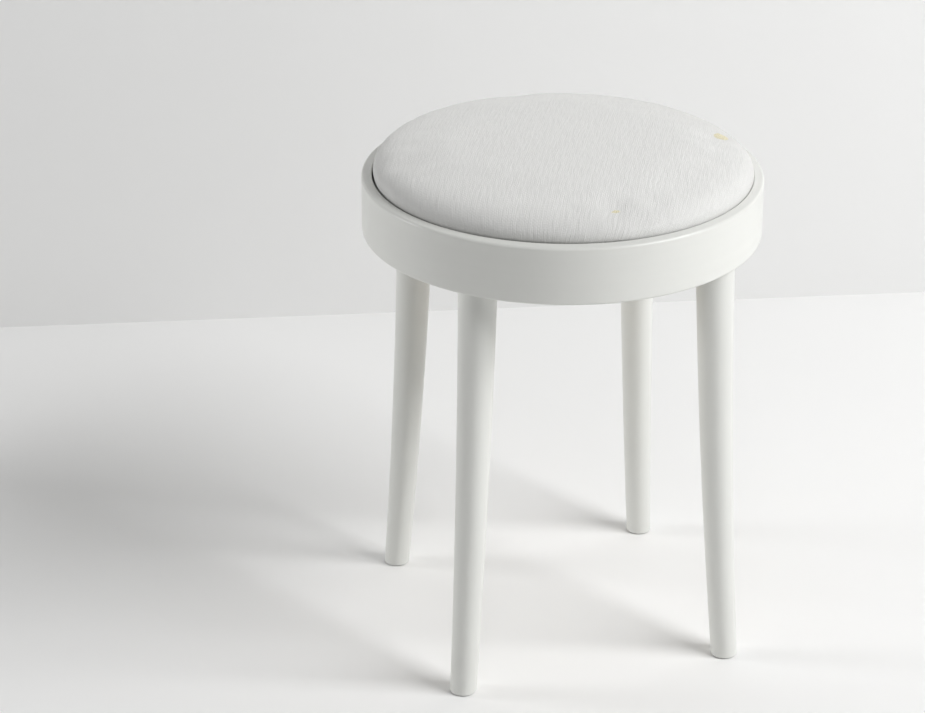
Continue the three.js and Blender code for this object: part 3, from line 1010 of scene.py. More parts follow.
@dataclass(frozen=True)
class Plywood:
    """Bare birch plywood: a grained face veneer, and plies that show in the edge and in the holes."""

    colour: tuple[float, float, float] = (0.61, 0.44, 0.227)
    ply_thickness: float = 1.4 * MM
    ply_change: tuple[float, float] = (0.4, 0.6)
    cross_ply_tone: float = 0.8
    face_reach: tuple[float, float] = (0.6, 0.8)
    band_scale: float = 38.0
    band_tone: tuple[float, float] = (0.84, 1.1)
    pore_scale: float = 650.0
    pore_tone: float = 0.22
    pore_depth: float = 0.03 * MM
    roughness: tuple[float, float] = (0.7, 0.58)

    def build(self, effects: Effects) -> bpy.types.Material:
        """Builds the material.

        Args:
            effects: The shared effects.

        Returns:
            The material.
        """
        tree, shader, material = new_material("birch plywood")
        at = tree.node("ShaderNodeTexCoord").outputs["Object"]
        mapping = tree.node("ShaderNodeMapping", {"Vector": at, "Rotation": (QUARTER, 0.0, 0.0)})
        turned_at = mapping.outputs[0]
        fibre = tree.group(
            effects.fibre, Vector=turned_at, Band_Scale=self.band_scale, Pore_Scale=self.pore_scale
        )
        height = tree.node("ShaderNodeSeparateXYZ", {0: at}).outputs[2]
        ply = tree.math("PINGPONG", height, self.ply_thickness)
        thinner, thicker = (share * self.ply_thickness for share in self.ply_change)
        crossed = tree.spread(ply, thinner, thicker, self.cross_ply_tone, 1.0)
        normal = tree.node("ShaderNodeNewGeometry").outputs["Normal"]
        upright = tree.node("ShaderNodeSeparateXYZ", {0: normal}).outputs[2]
        on_face = tree.spread(tree.math("ABSOLUTE", upright), *self.face_reach)
        plies = tree.mixed(on_face, crossed, 1.0)
        banded = tree.spread(fibre.outputs["Band"], 0.0, 1.0, *self.band_tone)
        pored = tree.math("MULTIPLY_ADD", fibre.outputs["Pore"], -self.pore_tone, 1.0)
        factor = tree.math("MULTIPLY", tree.math("MULTIPLY", plies, banded), pored)
        tree.feed(shader.inputs["Base Color"], tree.tinted(self.colour, factor))
        tree.feed(shader.inputs["Roughness"], tree.spread(fibre.outputs["Band"], 0.0, 1.0, *self.roughness))
        tree.relief(shader, tree.math("MULTIPLY", fibre.outputs["Pore"], -self.pore_depth))
        return material


@dataclass(frozen=True)
class Zinc:
    """Bright zinc plating on steel, clouded by handling."""

    colour: tuple[float, float, float] = (0.62, 0.63, 0.645)
    tone_scale: float = 420.0
    tone_swing: float = 0.07
    rub_scale: float = 700.0
    rub_polish: float = 0.1
    cloud_scale: float = 1300.0
    roughness: tuple[float, float] = (0.27, 0.42)
    grain_scale: float = 2500.0
    grain_depth: float = 0.006 * MM

    def build(self, effects: Effects) -> bpy.types.Material:
        """Builds the material.

        Args:
            effects: The shared effects.

        Returns:
            The material.
        """
        tree, shader, material = new_material("zinc-plated steel")
        at = tree.node("ShaderNodeTexCoord").outputs["Object"]
        tone = tree.group(effects.mottle, Vector=at, Scale=self.tone_scale, Amount=self.tone_swing)
        rub = tree.group(effects.rub, Vector=at, Scale=self.rub_scale)
        tree.feed(shader.inputs["Base Color"], tree.tinted(self.colour, tone.outputs["Factor"]))
        cloudy = tree.noise(at, self.cloud_scale, detail=3.0)
        matt = tree.spread(cloudy, *SOFT_NOISE, *self.roughness)
        polished = tree.math("MULTIPLY_ADD", rub.outputs["Mask"], -self.rub_polish, matt)
        tree.feed(shader.inputs["Roughness"], polished)
        grain = tree.noise(at, self.grain_scale, detail=1.0)
        tree.relief(shader, tree.math("MULTIPLY", grain, self.grain_depth))
        shader.inputs["Metallic"].default_value = 1.0
        return material


@dataclass(frozen=True)
class Nylon:
    """Moulded grey nylon, scuffed on the face that slides."""

    colour: tuple[float, float, float] = (0.2, 0.203, 0.195)
    tone_scale: float = 260.0
    tone_swing: float = 0.06
    rub_scale: float = 500.0
    rub_wear_and_highlight: float = 0.25
    cloud_scale: float = 900.0
    roughness: tuple[float, float] = (0.5, 0.68)
    grain_scale: float = 3500.0
    grain_depth: float = 0.02 * MM

    def build(self, effects: Effects) -> bpy.types.Material:
        """Builds the material.

        Args:
            effects: The shared effects.

        Returns:
            The material.
        """
        tree, shader, material = new_material("moulded nylon")
        at = tree.node("ShaderNodeTexCoord").outputs["Object"]
        tone = tree.group(effects.mottle, Vector=at, Scale=self.tone_scale, Amount=self.tone_swing)
        rub = tree.group(effects.rub, Vector=at, Scale=self.rub_scale)
        worn = tree.math("MULTIPLY_ADD", rub.outputs["Mask"], self.rub_wear_and_highlight, tone.outputs["Factor"])
        tree.feed(shader.inputs["Base Color"], tree.tinted(self.colour, worn))
        cloudy = tree.noise(at, self.cloud_scale, detail=3.0)
        matt = tree.spread(cloudy, *SOFT_NOISE, *self.roughness)
        tree.feed(shader.inputs["Roughness"], matt)
        grain = tree.noise(at, self.grain_scale, detail=1.0)
        tree.relief(shader, tree.math("MULTIPLY", grain, self.grain_depth))
        return material


class Finishes:
    """All the finishes of the stool, each built once."""

    def __init__(self) -> None:
        """Builds the shared effects and every material."""
        effects = Effects()
        self.ring_lacquer = Lacquer(FibreRun.ROUND_THE_RING).build(effects)
        self.leg_lacquer = Lacquer(FibreRun.ALONG_THE_LEG).build(effects)
        self.wool = Wool().build(effects)
        self.foam = Foam().build(effects)
        self.plywood = Plywood().build(effects)
        self.zinc = Zinc().build(effects)
        self.nylon = Nylon().build(effects)


# Sizes that the sub-assemblies share


@dataclass(frozen=True)
class Stool:
    """Sizes and places that several pieces share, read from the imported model."""

    ring_radius: float
    ring_bottom: float
    ring_top: float
    bulge_radius: float
    pad_top: float
    cover_bottom: float
    board_radius: float
    board_bottom: float
    board_top: float
    screw_circle: float
    foot_circle: float
    leg_foot: float
    tenon_top: float
    lip_width: float = 9.5 * MM
    shelf_width: float = 36.5 * MM
    rebate_depth: float = 16 * MM
    socket_cover: float = 8 * MM

    @classmethod
    def measured(cls) -> Stool:
        """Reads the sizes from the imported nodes.

        Returns:
            The sizes.
        """
        ring_low, ring_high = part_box("seat_ring")
        cover_low, cover_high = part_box("pad_cover")
        board_low, board_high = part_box("pad_board")
        screw_low, screw_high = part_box("pad_screw_right")
        glide_low, glide_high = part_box("glide_back_right")
        leg_low, leg_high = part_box("leg_back_right")
        glide_middle = (glide_low + glide_high) / 2
        return cls(
            ring_radius=ring_high.x,
            ring_bottom=ring_low.z,
            ring_top=ring_high.z,
            bulge_radius=cover_high.x,
            pad_top=cover_high.z,
            cover_bottom=cover_low.z,
            board_radius=board_high.x,
            board_bottom=board_low.z,
            board_top=board_high.z,
            screw_circle=(screw_low.x + screw_high.x) / 2,
            foot_circle=math.hypot(glide_middle.x, glide_middle.y),
            leg_foot=leg_low.z,
            tenon_top=leg_high.z,
        )

    @property
    def lip_radius(self) -> float:
        """Radius of the wall that the pad stands in."""
        return self.ring_radius - self.lip_width

    @property
    def mouth_radius(self) -> float:
        """Radius of the ring's open middle."""
        return self.lip_radius - self.shelf_width

    @property
    def shelf(self) -> float:
        """Height of the shelf that carries the pad."""
        return self.ring_top - self.rebate_depth

    @property
    def socket_end(self) -> float:
        """Height at which the sockets of the tenons end, under the shelf."""
        return self.shelf - self.socket_cover


@dataclass
class SeatRing:
    """The bent ring with its rounded lip, the pad's shelf and the holes of its joints."""

    stool: Stool
    lip_outer_round: float = 2.3 * MM
    lip_fall: float = 1.3 * MM
    lip_inner_round: float = 1.6 * MM
    lower_round: float = 2.5 * MM
    mouth_round: float = 1.5 * MM
    socket_radius: float = 11.3 * MM
    screw_hole: float = 2.8 * MM
    counterbore: float = 7 * MM
    clamped_wood: float = 15 * MM
    overrun: float = 2 * MM
    facets: int = 288

    def build(self, lock: WoodScrew, leg: Leg, finish: bpy.types.Material) -> bpy.types.Object:
        """Turns the ring, drills it and dresses it.

        Args:
            lock: The screws that lock the tenons, whose holes the ring has.
            leg: The legs, whose sockets the ring has.
            finish: The ring's material.

        Returns:
            The ring.
        """
        s = self.stool
        corners = [
            Corner(s.mouth_radius, s.ring_bottom, self.mouth_round, steps=3),
            Corner(s.ring_radius, s.ring_bottom, self.lower_round, steps=6),
            Corner(s.ring_radius, s.ring_top - self.lip_fall, self.lip_outer_round, steps=8),
            Corner(s.lip_radius, s.ring_top, self.lip_inner_round, steps=8),
            Corner(s.lip_radius, s.shelf),
            Corner(s.mouth_radius, s.shelf, self.mouth_round, steps=3),
        ]
        ring = turned("lacquered_seat_ring", corners, self.facets)
        cut_out(ring, self.tools(lock, leg))
        shade(ring)
        mark_edges(ring)
        hand_over(ring, finish, ["seat_ring"])
        return ring

    def tools(self, lock: WoodScrew, leg: Leg) -> list[bpy.types.Object]:
        """The drills of the tenon sockets, the lock screws and the pad screws.

        Args:
            lock: The screws that lock the tenons.
            leg: The legs.

        Returns:
            The tools, each in its place.
        """
        s = self.stool
        tools = []
        clamped = s.shelf - self.clamped_wood
        for place in LegPlace:
            socket = pin("socket", self.socket_radius, -self.overrun, s.socket_end - s.ring_bottom)
            leg.at_tenon(socket)
            settle(socket, place.value)
            hole = lock.hole("lock_hole")
            lock.lay_outwards(hole, s)
            settle(hole, place.value)
            tools += [socket, hole]
        for place in ScrewPlace:
            bore = pin("bore", self.counterbore, s.ring_bottom - self.overrun, clamped)
            way = pin("way", self.screw_hole, clamped - self.overrun, s.shelf + self.overrun)
            for tool in (bore, way):
                tool.location.x = s.screw_circle
                settle(tool, place.value)
                tools.append(tool)
        return tools


@dataclass
class Leg:
    """A bent, tapered leg with a round tenon that enters the ring."""

    stool: Stool
    top_radius: float = 17.2 * MM
    foot_radius: float = 12 * MM
    inset: float = 9.8 * MM
    bow: float = 2.85 * MM
    foot_round: float = 0.6 * MM
    glide_pocket: float = 0.3 * MM
    shoulder_round: float = 0.6 * MM
    tenon_radius: float = 11 * MM
    tenon_round: float = 1.5 * MM
    glue_line: float = 0.05 * MM
    sides: int = 72
    steps: int = 44

    @property
    def top(self) -> float:
        """Height of the shoulder that bears on the ring."""
        return self.stool.ring_bottom - self.glue_line

    @property
    def length(self) -> float:
        """Length of the shaft from foot to shoulder."""
        return self.top - self.stool.leg_foot

    @property
    def top_circle(self) -> float:
        """How far the shoulder's middle lies from the stool's middle."""
        return self.stool.ring_radius - self.inset - self.top_radius

    @property
    def tenon_lean(self) -> float:
        """Outward travel of the tenon for each unit of height."""
        return (4 * self.bow - (self.stool.foot_circle - self.top_circle)) / self.length

    def offset(self, share: float) -> float:
        """How far the leg's middle lies from the stool's middle, at a share of its height."""
        straight = self.stool.foot_circle + (self.top_circle - self.stool.foot_circle) * share
        return straight - 4 * self.bow * share * (1 - share)

    def at_tenon(self, tool: bpy.types.Object) -> None:
        """Leans a tool that stands on the origin along the tenon, and sets it where leg and ring meet."""
        tool.rotation_euler.y = math.atan(self.tenon_lean)
        tool.location = (self.top_circle, 0, self.stool.ring_bottom)

    def build(
        self, lock: WoodScrew, glide_screw: WoodScrew, finish: bpy.types.Material
    ) -> list[bpy.types.Object]:
        """Shapes one leg, drills it, copies it to the four places and dresses the copies.

        Args:
            lock: The screws that lock the tenons.
            glide_screw: The screws under the feet.
            finish: The legs' material.

        Returns:
            The four legs.
        """
        pattern = self.shaft()
        lock_hole = lock.hole("lock_hole")
        lock.lay_outwards(lock_hole, self.stool)
        settle(lock_hole)
        foot_hole = glide_screw.hole("foot_hole")
        glide_screw.stand_under_foot(foot_hole, self.stool)
        settle(foot_hole)
        glide_low, glide_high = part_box("glide_back_right")
        pocket_radius = (glide_high.x - glide_low.x) / 2 + self.glide_pocket
        pocket_top = glide_high.z + self.glide_pocket
        pocket = pin("pocket", pocket_radius, -self.glide_pocket, pocket_top, facets=64)
        pocket.location.x = self.stool.foot_circle
        settle(pocket)
        cut_out(pattern, [lock_hole, foot_hole, pocket])
        shade(pattern)
        mark_edges(pattern)
        legs = []
        for place in LegPlace:
            name = place.name.lower()
            leg = copy_of(pattern, f"lacquered_leg_{name}")
            settle(leg, place.value)
            hand_over(leg, finish, [f"leg_{name}"])
            legs.append(leg)
        scrap(pattern)
        return legs

    def shaft(self) -> bpy.types.Object:
        """Draws a leg up from its foot over +X, step by step along the bend, and the tenon out of its top.

        Returns:
            The leg without its screw holes.
        """
        clear_selection()
        bpy.ops.mesh.primitive_circle_add(
            vertices=self.sides,
            radius=self.foot_radius,
            fill_type="NGON",
            location=(self.stool.foot_circle, 0, self.stool.leg_foot),
        )
        leg = bpy.context.view_layer.objects.active
        leg.name = "leg_pattern"
        settle(leg)
        radius = self.foot_radius
        with editing(leg):
            bpy.ops.mesh.select_all(action="SELECT")
            for step in range(1, self.steps + 1):
                share = step / self.steps
                before = (step - 1) / self.steps
                rise = (self.offset(share) - self.offset(before), 0, self.length / self.steps)
                bpy.ops.mesh.extrude_region_move(TRANSFORM_OT_translate={"value": rise})
                wider = self.foot_radius + (self.top_radius - self.foot_radius) * share
                middle = (self.offset(share), 0, self.stool.leg_foot + self.length * share)
                grow = wider / radius
                bpy.ops.transform.resize(value=(grow, grow, 1), center_override=middle)
                radius = wider
            bpy.ops.mesh.inset(thickness=self.top_radius - self.tenon_radius)
            height = self.stool.tenon_top - self.top
            lean = (self.tenon_lean * height, 0, height)
            bpy.ops.mesh.extrude_region_move(TRANSFORM_OT_translate={"value": lean})
        self.soften(leg, self.stool.leg_foot, self.foot_radius, self.foot_round)
        self.soften(leg, self.top, self.top_radius, self.shoulder_round)
        self.soften(leg, self.stool.tenon_top, self.tenon_radius, self.tenon_round)
        with editing(leg):
            bpy.ops.mesh.select_all(action="SELECT")
            bpy.ops.mesh.normals_make_consistent(inside=False)
        return leg

    @staticmethod
    def soften(leg: bpy.types.Object, height: float, radius: float, amount: float) -> None:
        """Rounds the edge at one height of the leg.

        Args:
            leg: The leg over +X.
            height: The height of the edge.
            radius: The edge's radius.
            amount: The radius of the round.
        """
        across = [v.co.x for v in leg.data.vertices if abs(v.co.z - height) < NEAR]
        middle = (min(across) + max(across)) / 2

        def on_edge(at: Vector, _: Vector) -> bool:
            """Whether an edge belongs to the circle that is rounded."""
            away = math.hypot(at.x - middle, at.y)
            return abs(at.z - height) < NEAR and abs(away - radius) < NEAR_RADIUS

        with editing(leg):
            pick(leg, Part.EDGE, on_edge)
            bpy.ops.mesh.bevel(offset=amount, segments=4, affect="EDGES", profile=ROUND)


@dataclass
class WoodScrew:
    """A countersunk wood screw, modelled head down on the origin, with the face of its head at height 0."""

    length: float
    shank: float
    head: float
    rim: float
    point: float
    sink: float
    gap: float = 0.3 * MM
    overrun: float = 2 * MM
    head_round: float = 0.15 * MM
    neck_round: float = 0.4 * MM
    recess_depth: float = 1.2 * MM
    recess_arm: float = 0.8 * MM
    recess_width_share: float = 0.62
    recess_end_shares: tuple[float, float] = (0.35, 0.7)
    facets: int = 32

    def hole(self, name: str) -> bpy.types.Object:
        """The hole of the screw, run out past its head.

        Args:
            name: The tool's name.

        Returns:
            The tool on the origin.
        """
        head = self.head / 2 + self.gap
        shank = self.shank / 2 + self.gap
        corners = [
            Corner(0, -self.sink - self.overrun),
            Corner(head, -self.sink - self.overrun),
            Corner(head, self.rim),
            Corner(shank, self.rim + head - shank),
            Corner(shank, self.length - self.point),
            Corner(0, self.length + self.gap),
        ]
        return turned(name, corners, self.facets)

    def pattern(self, name: str) -> bpy.types.Object:
        """The screw itself with the cross-shaped recess of its driver.

        Args:
            name: The pattern's name.

        Returns:
            The screw on the origin.
        """
        head = self.head / 2
        shank = self.shank / 2
        corners = [
            Corner(0, 0),
            Corner(head, 0, self.head_round, steps=2),
            Corner(head, self.rim),
            Corner(shank, self.rim + head - shank, self.neck_round, steps=3),
            Corner(shank, self.length - self.point),
            Corner(0, self.length),
        ]
        screw = turned(name, corners, self.facets)
        cut_out(screw, [self.recess(angle=0.0), self.recess(angle=90.0)])
        shade(screw, crease=30.0)
        mark_edges(screw)
        return screw

    def recess(self, angle: float) -> bpy.types.Object:
        """One arm of the driver's recess, narrower at its bottom.

        Args:
            angle: How far the arm is turned, in degrees.

        Returns:
            The tool.
        """
        clear_selection()
        bpy.ops.mesh.primitive_cube_add(size=1, location=(0, 0, 0))
        arm = bpy.context.view_layer.objects.active
        arm.scale = (self.head * self.recess_width_share, self.recess_arm, 2 * self.recess_depth)
        settle(arm)
        with editing(arm):
            pick(arm, Part.FACE, lambda _, way: way.z > UPRIGHT)
            ends = (*self.recess_end_shares, 1)
            bpy.ops.transform.resize(value=ends, center_override=(0, 0, self.recess_depth))
        settle(arm, angle)
        return arm

    def lay_outwards(self, piece: bpy.types.Object, stool: Stool) -> None:
        """Lays the screw or its hole outwards along +X, its head just under the wall of the mouth."""
        middle = (stool.ring_bottom + stool.socket_end) / 2
        piece.rotation_euler.y = QUARTER
        piece.location = (stool.mouth_radius + self.sink, 0, middle)

    def stand_under_foot(self, piece: bpy.types.Object, stool: Stool) -> None:
        """Sets the screw or its hole upright under the middle of the foot over +X."""
        piece.location = (stool.foot_circle, 0, self.sink)


@dataclass
class Feet:
    """The glides under the legs and the screws that hold them."""

    stool: Stool
    screw: WoodScrew
    edge_round: float = 0.5 * MM
    sink_round: float = 0.2 * MM
    top_round: float = 0.25 * MM
    facets: int = 64

    def build(self, plastic: bpy.types.Material, metal: bpy.types.Material) -> None:
        """Turns one glide and one screw and sets copies of them under each foot.

        Args:
            plastic: The glides' material.
            metal: The screws' material.
        """
        head = self.screw.head / 2 + self.screw.gap
        shank = self.screw.shank / 2 + self.screw.gap
        seat = self.screw.sink + self.screw.rim
        low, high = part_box("glide_back_right")
        radius = (high.x - low.x) / 2
        top = high.z
        corners = [
            Corner(head, 0, self.sink_round, steps=2),
            Corner(radius, 0, self.edge_round, steps=5),
            Corner(radius, top, self.top_round, steps=3),
            Corner(shank, top),
            Corner(shank, seat + head - shank),
            Corner(head, seat),
        ]
        glide = turned("glide_pattern", corners, self.facets)
        glide.location.x = self.stool.foot_circle
        settle(glide)
        shade(glide)
        mark_edges(glide)
        screw = self.screw.pattern("glide_screw_pattern")
        self.screw.stand_under_foot(screw, self.stool)
        settle(screw)
        for place in LegPlace:
            name = place.name.lower()
            disc = copy_of(glide, f"nylon_glide_{name}")
            settle(disc, place.value)
            hand_over(disc, plastic, [f"glide_{name}"])
            fastener = copy_of(screw, f"zinc_glide_screw_{name}")
            settle(fastener, place.value)
            hand_over(fastener, metal, [f"glide_screw_{name}"])
        scrap(glide)
        scrap(screw)


@dataclass
class RingFasteners:
    """The screws that lock the tenons, and the screws and washers that hold the pad down."""

    stool: Stool
    lock: WoodScrew
    head_radius: float = 4.75 * MM
    head_height: float = 3.5 * MM
    head_round: float = 1.3 * MM
    seat_round: float = 0.2 * MM
    shank_radius: float = 2.5 * MM
    tip_chamfer: float = 0.5 * MM
    socket_width: float = 3 * MM
    socket_depth: float = 2 * MM
    socket_sides: int = 6
    washer_gap: float = 0.3 * MM
    washer_bore_round: float = 0.15 * MM
    washer_rim_round: float = 0.25 * MM
    facets: int = 48

    def build(self, metal: bpy.types.Material) -> None:
        """Shapes each kind of fastener once and sets its copies in their places.

        Args:
            metal: The fasteners' material.
        """
        lock = self.lock.pattern("lock_screw_pattern")
        self.lock.lay_outwards(lock, self.stool)
        settle(lock)
        for place in LegPlace:
            name = place.name.lower()
            copy = copy_of(lock, f"zinc_lock_screw_{name}")
            settle(copy, place.value)
            hand_over(copy, metal, [f"lock_screw_{name}"])
        scrap(lock)
        screw = self.pad_screw()
        washer = self.washer()
        for place in ScrewPlace:
            name = place.name.lower()
            for pattern, new_name, node in (
                (screw, f"zinc_pad_screw_{name}", f"pad_screw_{name}"),
                (washer, f"zinc_washer_{name}", f"pad_washer_{name}"),
            ):
                copy = copy_of(pattern, new_name)
                settle(copy, place.value)
                hand_over(copy, metal, [node])
        scrap(screw)
        scrap(washer)

    def pad_screw(self) -> bpy.types.Object:
        """The machine screw over +X, head down, with its hexagonal driver socket.

        Returns:
            The screw.
        """
        low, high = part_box("pad_screw_right")
        corners = [
            Corner(0, low.z),
            Corner(self.head_radius, low.z, self.head_round, steps=6),
            Corner(self.head_radius, low.z + self.head_height, self.seat_round, steps=2),
            Corner(self.shank_radius, low.z + self.head_height),
            Corner(self.shank_radius, high.z, self.tip_chamfer, steps=1),
            Corner(0, high.z),
        ]
        screw = turned("pad_screw_pattern", corners, self.facets)
        clear_selection()
        bpy.ops.mesh.primitive_cylinder_add(
            vertices=self.socket_sides,
            radius=self.socket_width / 2 / math.cos(math.pi / self.socket_sides),
            depth=2 * self.socket_depth,
            location=(0, 0, low.z),
        )
        socket = bpy.context.view_layer.objects.active
        settle(socket)
        cut_out(screw, [socket])
        screw.location.x = self.stool.screw_circle
        settle(screw)
        shade(screw, crease=30.0)
        mark_edges(screw)
        return screw

    def washer(self) -> bpy.types.Object:
        """The washer over +X.

        Returns:
            The washer.
        """
        low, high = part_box("pad_washer_right")
        bore = self.shank_radius + self.washer_gap
        outer = (high.x - low.x) / 2
        corners = [
            Corner(bore, low.z, self.washer_bore_round, steps=2),
            Corner(outer, low.z, self.washer_rim_round, steps=3),
            Corner(outer, high.z, self.washer_rim_round, steps=3),
            Corner(bore, high.z, self.washer_bore_round, steps=2),
        ]
        washer = turned("washer_pattern", corners, self.facets)
        washer.location.x = self.stool.screw_circle
        settle(washer)
        shade(washer)
        mark_edges(washer)
        return washer


@dataclass
class Pad:
    """The upholstered pad: board, foam, and a cover drawn over both and turned under.

    The cover above the ring is drawn onto a form that a cloth simulation swells, and leans a little to one
    side.
    """

    stool: Stool
    bulge_rise: float = 4 * MM
    shoulder_round: float = 9 * MM
    brow_round: float = 40 * MM
    brow_angle: float = 45.0
    side_gap: float = 1.7 * MM
    proud: float = 0.7 * MM
    lean_heading: float = -15.0
    lean_shift: float = 0.7 * MM
    lean_drop: float = 1.1 * MM
    lean_from: float = -6 * MM
    lean_full: float = 2 * MM
    cloth: float = 1.5 * MM
    # Painted shade on the cloth: none from the first height above the ring, full from the second
    flank_shade_from: float = 24 * MM
    flank_shade_full: float = 2 * MM
    fit_gap: float = 0.3 * MM
    board_edge: float = 1.2 * MM
    board_top_round: float = 0.4 * MM
    board_facets: int = 192
    hem_setback: float = 4 * MM
    breather_radius: float = 5 * MM
    breather_circle: float = 75 * MM
    nut_hole: float = 4.05 * MM
    nut_hole_facets: int = 32
    overrun: float = 2 * MM
    foam_inset: float = 2.8 * MM
    foam_facets: int = 144
    start_drop: float = 2.2 * MM
    start_bulge: float = 0.6 * MM
    form_facets: int = 96
    held_below: float = 4 * MM
    swell_cap: float = 4 * MM
    voxel: float = 4.5 * MM
    pressure: float = 1.0
    stretch_stiffness: float = 80.0
    sim_quality: int = 6
    last_frame: int = 20
    form_ease_passes: int = 6
    cover_ease_passes: int = 12
    draw_reach: float = 3 * MM
    facets: int = 288
    warp_heading: float = 65.5
    outline_steps: dict[str, int] = field(
        default_factory=lambda: {"shoulder": 12, "brow": 8, "crown": 50, "turn": 6, "side": 5, "hem": 6}
    )

    @property
    def bulge_height(self) -> float:
        """Height of the pad's widest part."""
        return self.stool.ring_top + self.bulge_rise

    @property
    def bulge_radius(self) -> float:
        """Radius of the pad's widest part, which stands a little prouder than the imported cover."""
        return self.stool.bulge_radius + self.proud

    @property
    def side(self) -> float:
        """Radius of the pad's upright side."""
        return self.stool.lip_radius - self.side_gap

    def crown_outline(self, inset: float, drop: float = 0.0) -> list[tuple[float, float]]:
        """The outline from the pad's upright side up to its middle.

        A tight shoulder, a softer brow and a flat crown follow each other, and each two share a tangent.

        Args:
            inset: How far the outline lies inside the face of the cover.
            drop: How much lower the middle lies.

        Returns:
            Pairs of radius and height.
        """
        across = self.bulge_radius - self.shoulder_round
        tuck = math.acos((self.side - across) / self.shoulder_round)
        turn = math.radians(self.brow_angle)
        shift = self.brow_round - self.shoulder_round
        brow = (across - shift * math.cos(turn), self.bulge_height - shift * math.sin(turn))
        top = self.stool.pad_top - drop
        rise = top - brow[1]
        radius = (brow[0] ** 2 + rise**2 - self.brow_round**2) / (2 * (rise - self.brow_round))
        meet = math.acos(brow[0] / (radius - self.brow_round))
        steps = self.outline_steps
        return [
            *arc((across, self.bulge_height), self.shoulder_round - inset, -tuck, turn, steps["shoulder"]),
            *arc(brow, self.brow_round - inset, turn, meet, steps["brow"])[1:],
            *arc((0, top - radius), radius - inset, meet, QUARTER, steps["crown"])[1:],
        ]

    def turned_under(self, inset: float) -> list[tuple[float, float]]:
        """The outline from the cover's lower face round its turn and up the upright side.

        Args:
            inset: How far the outline lies inside the face of the cover.

        Returns:
            Pairs of radius and height.
        """
        s = self.stool
        turn = self.board_edge + self.fit_gap + self.cloth
        centre = (self.side - turn, s.cover_bottom + turn)
        curve = arc(centre, turn - inset, -QUARTER, 0, self.outline_steps["turn"])
        low = curve[-1]
        high = self.crown_outline(inset)[0]
        rises = [i / self.outline_steps["side"] for i in range(1, self.outline_steps["side"])]
        straight = [(low[0] + (high[0] - low[0]) * t, low[1] + (high[1] - low[1]) * t) for t in rises]
        return curve + straight

    def build(self, finishes: Finishes) -> None:
        """Makes the board, the foam and the cover.

        Args:
            finishes: All the finishes.
        """
        self.board(finishes.plywood)
        self.foam(finishes.foam)
        self.cover(finishes.wool)

    def board(self, finish: bpy.types.Material) -> bpy.types.Object:
        """Turns the plywood board and drills the holes of its tee nuts and its breather holes.

        Args:
            finish: The board's material.

        Returns:
            The board.
        """
        s = self.stool
        corners = [
            Corner(0, s.board_bottom),
            Corner(s.board_radius, s.board_bottom, self.board_edge, steps=4),
            Corner(s.board_radius, s.board_top, self.board_top_round, steps=2),
            Corner(0, s.board_top),
        ]
        board = turned("plywood_board", corners, self.board_facets)
        bottom, top = s.board_bottom - self.overrun, s.board_top + self.overrun
        tools = [pin("breather", self.breather_radius, bottom, top)]
        for place in LegPlace:
            hole = pin("breather", self.breather_radius, bottom, top)
            hole.location.x = self.breather_circle
            settle(hole, place.value)
            tools.append(hole)
        for place in ScrewPlace:
            hole = pin("nut_hole", self.nut_hole, bottom, top, self.nut_hole_facets)
            hole.location.x = s.screw_circle
            settle(hole, place.value)
            tools.append(hole)
        cut_out(board, tools)
        shade(board)
        mark_edges(board)
        hand_over(board, finish, ["pad_board"])
        return board

    def foam(self, finish: bpy.types.Material) -> bpy.types.Object:
        """Turns the crowned foam block that fills the cover.

        Args:
            finish: The foam's material.

        Returns:
            The foam.
        """
        s = self.stool
        bottom = s.board_top + self.fit_gap
        outline = self.crown_outline(self.foam_inset)[::2]
        points = [(0.0, bottom), (outline[0][0], bottom), *outline]
        foam = drawn_outline("foam_block", points)
        spun(foam, self.foam_facets)
        shade(foam)
        mark_edges(foam)
        hand_over(foam, finish, ["pad_foam"])
        return foam

    def cover(self, finish: bpy.types.Material) -> bpy.types.Object:
        """Makes the cover: a turned skin drawn onto the swollen form, given the cloth's thickness.

        Args:
            finish: The cover's material.

        Returns:
            The cover.
        """
        s = self.stool
        hem = (s.mouth_radius + self.hem_setback, s.cover_bottom)
        turn = self.turned_under(0)[0]
        steps = self.outline_steps["hem"]
        flat = [(hem[0] + (turn[0] - hem[0]) * i / steps, hem[1]) for i in range(steps)]
        outline = [*flat, *self.turned_under(0), *self.crown_outline(0)]
        cover = drawn_outline("wool_cover", outline)
        spun(cover, self.facets)
        form = self.swollen_form()
        self.draw_over(cover, form)
        scrap(form)
        self.thicken(cover)
        self.map_cloth(cover, outline)
        self.mark_flank_shade(cover)
        self.lean(cover)
        shade(cover, crease=60.0)
        hand_over(cover, finish, ["pad_cover"])
        return cover

